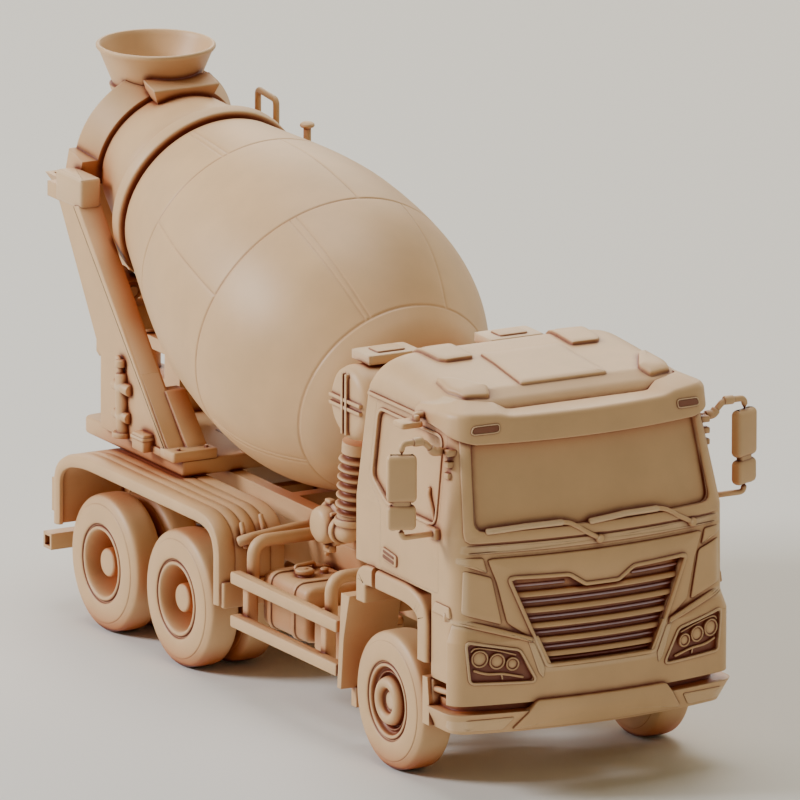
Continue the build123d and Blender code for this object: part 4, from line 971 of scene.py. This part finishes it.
class MIXER_OT_cab_sides(bpy.types.Operator):
    """Adds door handles, window beads, drip rails, hinge lugs, the ribs and plate of the back wall and a kerb
    mirror
    """

    bl_idname = "mixer.cab_sides"
    bl_label = "Cab sides"

    def execute(self, context):
        flank = cab_flank(1)
        handle = [(-2.3, 32.8), (-2.4, 34.7), (2.3, 35.3), (2.5, 33.4)]
        drip_rail = [(-15.6, 57.5), (-15.6, 58.1), (10.6, 58.1), (10.6, 57.5)]
        arch_pad = [(-19.4, 28.6), (-19.0, 30.4), (-14.6, 30.4), (-13.4, 28.6)]
        shells = [
            framed(flank, inset(rounded(PANE, 1.4), -0.55), rounded(PANE, 1.3), 0.6, 0.28, 0.18, 200),
            on_surface(flank, handle, 0.6, 0.4, 0.34, 0.24, spacing=0.6),
            on_surface(flank, drip_rail, 0.25, 0.4, 0.42, 0.2),
            on_surface(flank, arch_pad, 0.4, 0.4, 0.22, 0.15),
        ]
        # hinge lugs beside the windscreen, and ribs and a plate on the back wall
        for z in (54.3, 52.5, 50.7):
            shells.append(block((21.6, 23.3), (-16.9, -15.5), (z - 0.5, z + 0.5), 0.2, 0.25))
        for x in ((6.0, 7.2), (13.6, 14.8), (19.6, 20.6)):
            shells.append(block(x, (10.2, 11.15), (33.0, 56.0), 0.2))
        plate = block((-5.6, 5.6), (10.4, 11.1), (45.0, 54.6), 0.25, 1.0)
        piece("cab_side_fittings", [*both(*shells), plate], sharp=42)
        slots = both(*(
            on_surface(flank, outline, 0.2, 0.1, 0.42, 0.05, spacing=0.4)
            for outline in (
                [(-1.7, 33.2), (-1.7, 33.75), (1.8, 34.2), (1.8, 33.65)],
                [(-1.7, 34.05), (-1.7, 34.5), (1.7, 34.95), (1.7, 34.5)],
            )
        ))
        # painted shade: the slots behind the door handles are dark pads
        piece("door_handle_slots", slots, sharp=60, material=shaded_slot_resin())
        kerb = [
            block((-27.4, -23.6), (-9.8, -6.4), (57.0, 58.0), 0.3, 0.7),
            bar([(-22.0, -8.1, 58.6), (-24.6, -8.1, 58.6)], 0.55),
            stud((-24.4, at(-8.9), 58.0), Z, 0.5, 0.9),
            stud((-23.4, at(-7.2), 58.0), Z, 0.42, 0.8),
        ]
        piece("kerb_mirror", kerb)
        return {"FINISHED"}


class MIXER_OT_mirrors(bpy.types.Operator):
    """Forms the door mirrors on their jointed arms, and the wipers"""

    bl_idname = "mixer.mirrors"
    bl_label = "Mirrors and wipers"

    def execute(self, context):
        x, y, turn = 30.4, -15.0, math.radians(24.0)
        across = (math.cos(turn), math.sin(turn), 0)
        depth = (-math.sin(turn), math.cos(turn), 0)
        shells = []
        for w, d, low, high in ((2.35, 0.95, 47.1, 54.7), (2.25, 0.95, 42.7, 46.7), (1.5, 0.6, 46.2, 47.6)):
            plan = rounded([(-w, -d), (w, -d), (w, d), (-w, d)], 0.6, 6)
            shells.append(slab(plan, low, high, (x, at(y), 0), across, depth, 0.5 if w < 2 else 0.85, 6))
        arm = [(21.2, 54.3), (24.8, 54.5), (26.6, 56.4), (x, 56.4), (x, 54.2)]
        shells += [
            bar([(px, y, z) for px, z in arm], 0.5, 0.9),
            bar([(x, y, 43.2), (x, y, 41.4), (23.4, y, 41.4)], 0.46, 0.9),
            bar([(23.4, y, 54.43), (24.8, y, 54.5), (25.4, y, 55.2)], 0.74, 0.4, ends=0.2),
            bar([(26.7, y, 56.4), (28.4, y, 56.4)], 0.72, ends=0.2),
            block((22.8, 25.0), (y - 0.9, y + 2.6), (40.4, 42.2), 0.4),
            bar([(23.4, y + 1.0, 42.0), (23.2, y + 4.2, 46.4), (22.9, y + 4.4, 47.6)], 0.5, 0.5),
        ]
        piece("door_mirrors", both(*shells), ["mirrors"])
        blades = []
        for line in (
            ((-19.2, 42.4), (-12.6, 42.8), (-5.8, 42.9), (-0.4, 39.8)),
            ((-2.2, 42.5), (4.4, 43.0), (11.2, 42.9), (16.9, 39.9)),
        ):
            flat = divided(rounded(line, [0, 0.5, 1.2, 0], 5, closed=False), 0.8, closed=False)
            place, normal = cab_front(flat[:, 0], flat[:, 1])
            blades.append(rod(place + normal * 0.42, 0.4, steps=12))
            half = flat[flat[:, 0] < line[2][0] - 0.4]
            place, normal = cab_front(half[:, 0], half[:, 1])
            blades.append(rod(place + normal * 0.3, 0.52, steps=12))
            place, normal = cab_front(vec(line[3][0]), vec(line[3][1]))
            blades.append(stud(place[0], normal[0], 0.72, 0.95, 20))
        piece("wiper_arms", blades, ["wipers"])
        return {"FINISHED"}


class MIXER_OT_mudguards(bpy.types.Operator):
    """Carries the mudguard sections over the wheels: grooved and rolled at the rear, broad at the front"""

    bl_idname = "mixer.mudguards"
    bl_label = "Mudguards"

    def execute(self, context):
        # section of the rear mudguard: depth below its skin, x
        skin = [(0.0, 13.0)]
        for x in (15.4, 17.5, 19.6, 21.7):
            skin += [(0.0, x - 0.3), (0.2, x), (0.0, x + 0.3)]
        roll = [
            (0.0, 23.0), (-0.02, 23.9), (0.25, 24.55), (0.75, 24.8), (1.6, 24.8), (2.05, 24.5), (2.0, 23.9),
            (1.3, 23.5), (1.2, 13.0),
        ]
        line = arch_line(54.0, 13.6, 108.6, 14.6, 27.6, 8.0, 13.0)
        rear = [
            carried(line, skin + roll, up=X),
            bar([(21.8, 53.2, 23.8), (20.4, 52.4, 24.4), (12.0, 52.4, 25.2), (8.8, 52.4, 25.2)], 0.85, 1.0),
            bar([(20.4, 53.0, 22.6), (20.4, 54.6, 26.6)], 0.42),
            bar([(16.8, 53.0, 23.2), (16.8, 55.0, 27.4)], 0.42),
            block((14.0, 24.2), (53.3, 54.4), (13.2, 17.4), 0.3),
        ]
        piece("rear_mudguard_pair", both(*rear), ["rear_mudguards"], sharp=35)
        # section of the front mudguard: depth, x
        lip = rounded([(0.0, 14.4), (0.0, 24.8), (3.0, 24.8), (3.2, 14.4)], [0.2, 0.8, 0.5, 0.2], 6)
        front = arch_line(-12.9, 20.2, 9.8, 25.2, 31.2, 9.0, 4.6)
        cut = at(4.3)
        ahead = front[(front[:, 1] < cut) | (front[:, 2] < 20.0)]
        behind = front[(front[:, 1] > cut + 0.2)]
        # the rear part stands a hair proud of the front one
        proud = lip * vec(1.06, 1) - vec(0.12, 0)
        shells = [carried(part, section, up=X) for part, section in ((ahead, lip), (behind, proud))]
        piece("front_mudguard_pair", both(*shells), ["front_mudguards"], sharp=35)
        return {"FINISHED"}


class MIXER_OT_sides(bpy.types.Operator):
    """Forms the side bars with their bent pipes, the fuel tank, battery box, air cleaner and hose"""

    bl_idname = "mixer.sides"
    bl_label = "Between the axles"

    def execute(self, context):
        bars = []
        for low in (11.2, 18.2):
            bars.append(block((22.8, 24.8), (15.9, 50.2), (low, low + 2.0), 0.3, 0.3))
        for y in (23.2, 48.4):
            bars.append(block((21.1, 23.1), (y - 0.9, y + 0.9), (11.2, 19.8), 0.25))
            bars.append(bar([(9.0, y, 25.0), (21.6, y, 25.0), (21.6, y, 18.6)], 1.05, 2.6, up=Y))
            bars.append(bar([(21.6, y, 19.6), (21.6, y, 20.5)], 1.4, ends=0.2))
        piece("side_bars", both(*bars), ["side_guards"])
        x, z = (-20.2, -9.0), (11.4, 20.4)
        body = rounded([(x[0], z[0]), (x[1], z[0]), (x[1], z[1]), (x[0], z[1])], 1.9, 8)
        tank = [slab(body, 0, 14.2, (0, at(48.2), 0), X, Z, 0.9, 5)]
        for y in (38.4, 46.0):
            tank.append(slab(inset(body, -0.28), 0, 1.1, (0, at(y), 0), X, Z, 0.15))
        neck = [
            (-0.4, 0), (-0.4, 1.25), (0.35, 1.25), (0.45, 1.5), (0.95, 1.5), (1.12, 1.3), (1.15, 0.5),
            (1.3, 0.4), (1.3, 0),
        ]
        tank.append(lathe(neck, (-16.2, at(41.6), 20.4), Z, 28))
        handle = [(-16.6, 43.4, 20.3), (-16.6, 43.9, 21.4), (-12.8, 44.9, 21.4), (-12.6, 44.9, 20.3)]
        tank.append(bar(handle, 0.34, 0.4))
        tank.append(stud((-12.6, at(41.8), 20.4), Z, 0.7, 0.9, 16))
        piece("fuel_tank_shell", tank, ["fuel_tank"], sharp=35)
        boxes = [
            block((9.0, 20.2), (24.4, 44.4), (11.4, 20.4), 0.6, 0.9),
            block((9.4, 20.6), (24.8, 44.0), (18.8, 19.6), 0.2, 0.7),
            block((20.0, 20.7), (26.0, 42.8), (12.6, 18.2), 0.25, 0.5),
            block((-19.4, -9.0), (22.2, 33.0), (10.8, 17.6), 0.6, 0.8),
            block((-19.6, -9.2), (22.0, 33.2), (15.8, 16.3), 0.15, 0.7),
        ]
        for y in (29.6, 34.4, 39.2):
            boxes.append(block((20.4, 20.9), (y - 0.5, y + 0.5), (13.0, 17.8), 0.15))
        piece("battery_and_tool_boxes", boxes, ["battery_box"])
        y, z = at(37.8), 29.4
        shell = [
            (0, 0), (0, 2.9), (3.4, 2.9), (3.5, 3.5), (3.9, 3.62), (4.9, 3.62), (5.1, 3.3), (5.2, 3.05),
            (6.2, 3.0), (6.9, 2.7), (7.25, 2.2), (7.35, 1.2), (7.4, 0),
        ]
        cleaner = [lathe(shell, (-9.0, y, z), (-1, 0, 0), 48)]
        cleaner += [
            block((-14.6, -13.2), (36.6, 38.8), (24.9, 26.2), 0.25),
            bar([(-14.0, 37.8, 25.4), (-14.0, 38.6, 24.2)], 0.4),
            block((-14.4, -13.2), (36.9, 38.7), (32.6, 33.4), 0.2),
        ]
        for a in np.radians([20, 140, 260]):
            place = (-14.3, y + 3.3 * math.cos(a), z + 3.3 * math.sin(a))
            cleaner.append(stud(place, (-1, 0, 0), 0.42, 0.9, 10))
        piece("air_cleaner_can", cleaner, ["air_cleaner"], sharp=35)
        piece("intake_bellows", self.hose(), ["intake_hose"], sharp=50)
        return {"FINISHED"}

    def hose(self):
        """Bellows: a circle carried up a leaning line, its radius a row of raised cosines, and an elbow."""
        s = np.linspace(0, 1, 90)
        line = np.stack([-14.0 + 0 * s, at(30.6 - 1.8 * s), 31.4 + 13.4 * s], 1)
        folds = 2.25 + 0.5 * np.where((s > 0.12) & (s < 0.86), np.cos(2 * np.pi * (s * 9.0)), 0.25)
        bellows = carried(line, ring_of(1.0, 28)[None] * folds[:, None, None], up=Y)
        elbow = bar([(-14.0, 30.5, 32.4), (-14.0, 30.6, 29.4), (-14.0, 34.4, 29.4)], 1.75, 2.2, steps=28)
        collar = bar([(-14.0, 33.0, 29.4), (-14.0, 34.2, 29.4)], 2.3, steps=28, ends=0.3)
        hoop = bar([(-14.0, 30.55, 31.0), (-14.0, 30.5, 32.2)], 2.75, up=Y, steps=28, ends=0.3)
        return [bellows, elbow, collar, hoop]


class MIXER_OT_water_tank(bpy.types.Operator):
    """Turns the water tank and adds the cross ribs on its ends, its straps and the slab above it"""

    bl_idname = "mixer.water_tank"
    bl_label = "Water tank"

    def execute(self, context):
        y, z, reach = 24.2, 52.4, 18.6
        end = vec((0, 0), (0, 4.3), (0.15, 4.9), (0.7, 5.65), (1.7, 6.0), (6.0, 6.0)) - vec(reach, 0)
        shells = [lathe(np.vstack([end, end[::-1] * vec(-1, 1)]), (0, at(y), z), X, 72)]
        for x in (-7.6, 7.6):
            band = rounded([(x - 1.0, 5.7), (x - 1.0, 6.25), (x + 1.0, 6.25), (x + 1.0, 5.7)], 0.12, 3)
            shells.append(lathe(band, (0, at(y), z), X, 64, closed=True))
        for offset in (-0.62, 0.62):
            shells += both(
                block((18.3, 19.1), (y + offset - 0.32, y + offset + 0.32), (z - 4.9, z + 4.9), 0.15, 0.12),
                block((18.3, 19.0), (y - 4.9, y + 4.9), (z + offset - 0.32, z + offset + 0.32), 0.15, 0.12),
            )
        shells += both(
            block((6.18, 15.62), (22.25, 28.15), (58.5, 60.1), 0.3, 0.9),
            block((8.4, 13.4), (23.4, 26.8), (59.9, 60.4), 0.2, 0.6),
        )
        piece("water_tank_shell", shells, ["water_tank"], sharp=35)
        return {"FINISHED"}


class MIXER_OT_rear(bpy.types.Operator):
    """Adds the flanges, feet and boxes of the rear pedestal, the rollers, hopper, rails and vent pipe"""

    bl_idname = "mixer.rear"
    bl_label = "Rear end"

    def execute(self, context):
        flange = [(81.2, 30.6), (82.9, 30.6), (112.6, 64.4), (110.9, 64.8)]
        web = [(81.0, 30.4), (81.0, 31.8), (88.2, 39.4), (91.0, 39.4), (86.6, 30.4)]
        shells = [
            flank_slab(flange, (14.9, 19.0), 0.2, 0.2),
            # two feet, and the box at the leg's top
            block((11.2, 19.2), (78.9, 83.6), (30.2, 31.9), 0.3, 0.5),
            block((14.6, 19.0), (83.4, 87.4), (30.2, 31.5), 0.25, 0.3),
            block((15.1, 18.8), (110.4, 118.8), (64.1, 69.05), 0.55, 0.6),
            flank_slab(web, (11.9, 15.6), 0.3, 0.25),
        ]
        # water tap on the leg: body, branch, lever
        tap = vec(18.9, at(96.2), 38.4)
        shells += [
            rod(tap + vec((0, -0.3, -7.4), (0, 0, -3.4), (0, 0.2, 2.6)), 1.15, up=Y, steps=20),
            rod(tap + vec((0, -2.6, 0.2), (0.2, 2.2, 0.4)), 0.95, steps=20, ends=0.25),
            rod(tap + vec((0, -2.2, -4.4), (0.2, 2.0, -4.2)), 0.9, steps=20, ends=0.25),
            rod(tap + vec((0.2, 0.2, 2.0), (0.3, 0.5, 4.6), (0.3, 1.4, 5.0)), 0.5, 0.5),
            stud(tap + vec(0.2, 0.3, 3.9), Z, 0.95, 0.9, 16),
            rod(tap + vec((0, 0, -7.8), (0, 0, -6.9)), 1.7, up=Y, steps=20, ends=0.2),
            block((18.3, 20.6), (86.4, 90.2), (30.3, 33.2), 0.35),
            block((18.2, 20.8), (86.2, 90.4), (32.2, 32.7), 0.12),
        ]
        for x in (12.6, 17.6):
            shells.append(stud((x, at(80.2), 31.9), Z, 0.34, 0.4, 6, 0.1))
        piece("rear_pedestal_fittings", both(*shells), sharp=35)
        self.rollers()
        self.hopper()
        self.rails()
        self.deck()
        return {"FINISHED"}

    def rollers(self):
        """Rollers turned about lines along the drum's axis: crowned tread, grooved face, hub."""
        front = vec(
            (-1.75, 0.0), (-1.75, 1.0), (-1.6, 1.06), (-1.42, 1.5), (-1.6, 1.75), (-1.6, 2.05), (-1.42, 2.24),
            (-1.0, 2.3),
        )
        profile = np.vstack([front, front[::-1] * vec(-1, 1)])
        for name in ("left", "right"):
            roller = [lathe(profile, middle(f"drum_roller_{name}"), DRUM_AXIS, 48)]
            piece(f"support_roller_{name}", roller, [f"drum_roller_{name}"], body=f"roller_{name}")

    def hopper(self):
        """Funnel turned about an upright line with a rolled rim, and a saddle block on the drum's neck.

        The block's inner face keeps a fixed radius from the drum's axis and its outer face is flat:
        radius = height / cos(angle).
        """
        wall = [
            (79.3, 6.25), (81.0, 6.95), (83.6, 8.02), (85.9, 8.95), (86.2, 9.28), (86.5, 9.48), (86.82, 9.48),
            (87.0, 9.28), (86.98, 8.95), (86.7, 8.7), (86.2, 8.55), (83.6, 7.25), (81.0, 6.15), (79.3, 5.45),
        ]
        collar = rounded([(79.4, 6.1), (79.4, 7.0), (80.5, 7.4), (80.7, 6.6)], 0.2, 3)
        shells = [lathe(profile, (0, at(120.3), 0), Z, 96, closed=True) for profile in (wall, collar)]
        angles = np.radians(np.linspace(-23, 23, 24))
        low, height, start, end = 12.25, 13.9, 77.3, 81.2
        sections = np.array([
            rounded([(start, low), (start, flat), (end, flat), (end, low)], [0.1, 0.3, 0.3, 0.1], 4)
            for flat in height / np.cos(angles)
        ])
        rays = round_drum(angles)[:, None]
        shells.append(sheet(DRUM_FOOT + sections[..., :1] * DRUM_AXIS + sections[..., 1:] * rays))
        piece("charging_hopper", shells, ["hopper"], sharp=40)

    def rails(self):
        """The hoop rail with its foot studs, and the capped vent pipe with its collar."""
        x, front, rear = 16.95, 111.6, 117.6
        hoop = [(x, front, 68.7), (x, front, 77.6), (x, rear, 78.1), (x, rear, 68.7)]
        shells = [bar(hoop, 0.52, 0.9, up=X)]
        shells += [stud((x, at(y), 69.0), Z, 0.9, 0.6, 16, 0.2) for y in (front, rear)]
        piece("hoop_rails", shells, ["hand_rail"])
        foot = (17.8, at(103.0), 0)
        cap = [(74.9, 0), (74.9, 0.7), (75.05, 1.05), (75.3, 1.2), (75.6, 1.1), (75.82, 0.75), (75.88, 0)]
        collar = [(60.0, 0.5), (60.0, 0.95), (60.8, 0.95), (60.8, 0.5)]
        pipe = [
            bar([(17.8, 103.0, 43.0), (17.8, 103.0, 75.2)], 0.62, up=Y),
            lathe(cap, foot, Z, 32),
            lathe(collar, foot, Z, 24, closed=True),
        ]
        piece("vent_pipe_and_cap", pipe, ["vent_pipe"])

    def deck(self):
        """The deck with its rounded edge, and four slots in its top painted dark as shade."""
        corners = [(-17.5, 79.0), (17.5, 79.0), (17.5, 112.2), (-17.5, 112.2)]
        outline = rounded(corners, [0.6, 0.6, 2.0, 2.0], 6)
        plate = slab(outline, 27.7, DECK_TOP, FRONT, X, Y, 0.5, 5)
        piece("deck_plate", [plate], ["mixer_deck"])
        marks = []
        for x, y in ((11.6, 81.0), (-3.6, 88.0)):
            slot = [(x, y), (x + 0.8, y), (x + 0.8, y + 6.0), (x, y + 6.0)]
            marks.append(on_surface(deck_top, slot, 0.3, 0.2, 0.03, 0.02))
        # painted shade: the slots are dark pads on the deck
        piece("deck_slots", both(*marks), sharp=60, material=shaded_slot_resin())


class MIXER_OT_frame_finish(bpy.types.Operator):
    """Gives every carried-over part of the truck the cast-resin material with its painted shade and
    highlights
    """

    bl_idname = "mixer.frame_finish"
    bl_label = "Frame finish"

    def execute(self, context):
        material = resin()
        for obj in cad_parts.values():
            obj.data.materials.clear()
            obj.data.materials.append(material)
        return {"FINISHED"}


class MIXER_OT_stage(bpy.types.Operator):
    """Sets the camera, the pale floor and the soft studio light"""

    bl_idname = "mixer.stage"
    bl_label = "Stage"

    def execute(self, context):
        scene = context.scene
        turn, rise, roll = (math.radians(a) for a in (-29.03, 14.52, 0.268))
        back = Vector((math.sin(turn) * math.cos(rise), -math.cos(turn) * math.cos(rise), math.sin(rise)))
        right = Vector((math.cos(turn), math.sin(turn), 0.0))
        up = back.cross(right)
        # the view's middle lies a little above and left of a point low in the drum
        aim = Vector((0, at(40.0), 30.0)) * MM + up * 16.6 * MM - right * 0.19 * MM
        distance, width_seen, sensor = 5.8, 0.125, 36
        lens = bpy.data.cameras.new("camera")
        lens.lens, lens.sensor_width = sensor * distance / width_seen, sensor
        lens.clip_start, lens.clip_end = 0.1, 30
        camera = bpy.data.objects.new("camera", lens)
        scene.collection.objects.link(camera)
        camera.rotation_mode = "QUATERNION"
        camera.location = aim + back * distance
        look = (-back).to_track_quat("-Z", "Y")
        camera.rotation_quaternion = look @ Quaternion(Z, roll)
        scene.camera = camera
        self.lights(scene)
        self.floor(scene)
        return {"FINISHED"}

    def lights(self, scene):
        """Soft lamps aimed at the truck, and a world that fills dimly but shows pale.

        Each row holds a lamp's name, place in metres, size in metres, strength in watts and colour.
        """
        for name, place, size, power, tint in (
            ("key", (-0.86, 0.42, 0.58), 0.34, 11.6, "#F8FAFF"),
            ("back", (0.5, 0.8, 0.55), 0.5, 3.2, "#FFF5E2"),
            ("top", (0.1, 0.2, 1.0), 0.6, 5.8, "#FFFDFA"),
            ("front", (-0.3, -0.95, 0.42), 0.6, 0.7, "#FAEEC2"),
            ("side", (0.9, 0.1, 0.35), 0.5, 1.2, "#FAEEC2"),
        ):
            lamp = bpy.data.lights.new(name, "AREA")
            lamp.size, lamp.energy, lamp.color = size, power, linear(tint)
            obj = bpy.data.objects.new(name, lamp)
            obj.location = place
            obj.rotation_mode = "QUATERNION"
            obj.rotation_quaternion = (Vector((0, 0, 30 * MM)) - Vector(place)).to_track_quat("-Z", "Y")
            scene.collection.objects.link(obj)
        world = bpy.data.worlds.new("studio")
        scene.world = world
        world.use_nodes = True
        tree = world.node_tree
        tree.nodes.clear()
        rays = node(tree, "ShaderNodeLightPath")
        seen = node(
            tree, "ShaderNodeMath",
            [(rays.outputs["Is Camera Ray"], 0), (rays.outputs["Is Glossy Ray"], 1)], operation="MAXIMUM",
        )
        fill = node(tree, "ShaderNodeBackground", Color=rgba(linear("#F0E0B0")), Strength=0.14)
        shown = node(tree, "ShaderNodeBackground", Color=rgba(linear("#F1F0ED")), Strength=1.0)
        mix = node(
            tree, "ShaderNodeMixShader",
            [(seen.outputs[0], 0), (fill.outputs[0], 1), (shown.outputs[0], 2)],
        )
        node(tree, "ShaderNodeOutputWorld", [(mix.outputs[0], "Surface")])

    def floor(self, scene):
        """A flat square, 6 m wide, of matt pale paper."""
        mesh = bpy.data.meshes.new("paper_floor")
        mesh.from_pydata([(-3, -3, 0), (3, -3, 0), (3, 3, 0), (-3, 3, 0)], [], [(0, 1, 2, 3)])
        obj = bpy.data.objects.new("paper_floor", mesh)
        scene.collection.objects.link(obj)
        material = bpy.data.materials.new("matt_paper")
        material.use_nodes = True
        shader = material.node_tree.nodes["Principled BSDF"]
        shader.inputs["Base Color"].default_value = rgba(linear("#E9E7E2"))
        shader.inputs["Roughness"].default_value = 0.9
        shader.inputs["Specular IOR Level"].default_value = 0.1
        mesh.materials.append(material)


class MIXER_PT_panel(bpy.types.Panel):
    """Lists the steps that build the model"""

    bl_idname = "MIXER_PT_panel"
    bl_label = "Concrete Mixer Truck"
    bl_space_type = "VIEW_3D"
    bl_region_type = "UI"
    bl_category = "Mixer Truck"

    def draw(self, context):
        for step in STEPS:
            self.layout.operator(step.bl_idname)
        settings = context.scene.mixer_truck
        for group in (settings.finish, settings.wheels, settings.drum):
            box = self.layout.box()
            for key in group.__annotations__:
                box.prop(group, key)


STEPS = (
    MIXER_OT_frame_finish,
    MIXER_OT_wheels,
    MIXER_OT_drum,
    MIXER_OT_roof,
    MIXER_OT_cab_front,
    MIXER_OT_bumper,
    MIXER_OT_cab_sides,
    MIXER_OT_mirrors,
    MIXER_OT_mudguards,
    MIXER_OT_sides,
    MIXER_OT_water_tank,
    MIXER_OT_rear,
    MIXER_OT_stage,
)
CLASSES = (ResinAndShading, WheelSizes, DrumSizes, TruckSettings, *STEPS, MIXER_PT_panel)


def register():
    for cls in CLASSES:
        bpy.utils.register_class(cls)
    bpy.types.Scene.mixer_truck = PointerProperty(type=TruckSettings)


def unregister():
    del bpy.types.Scene.mixer_truck
    for cls in reversed(CLASSES):
        bpy.utils.unregister_class(cls)


def main():
    """Builds the whole model step by step."""
    register()
    for step in STEPS:
        group, _, call = step.bl_idname.partition(".")
        getattr(getattr(bpy.ops, group), call)()


if __name__ == "__main__":
    main()
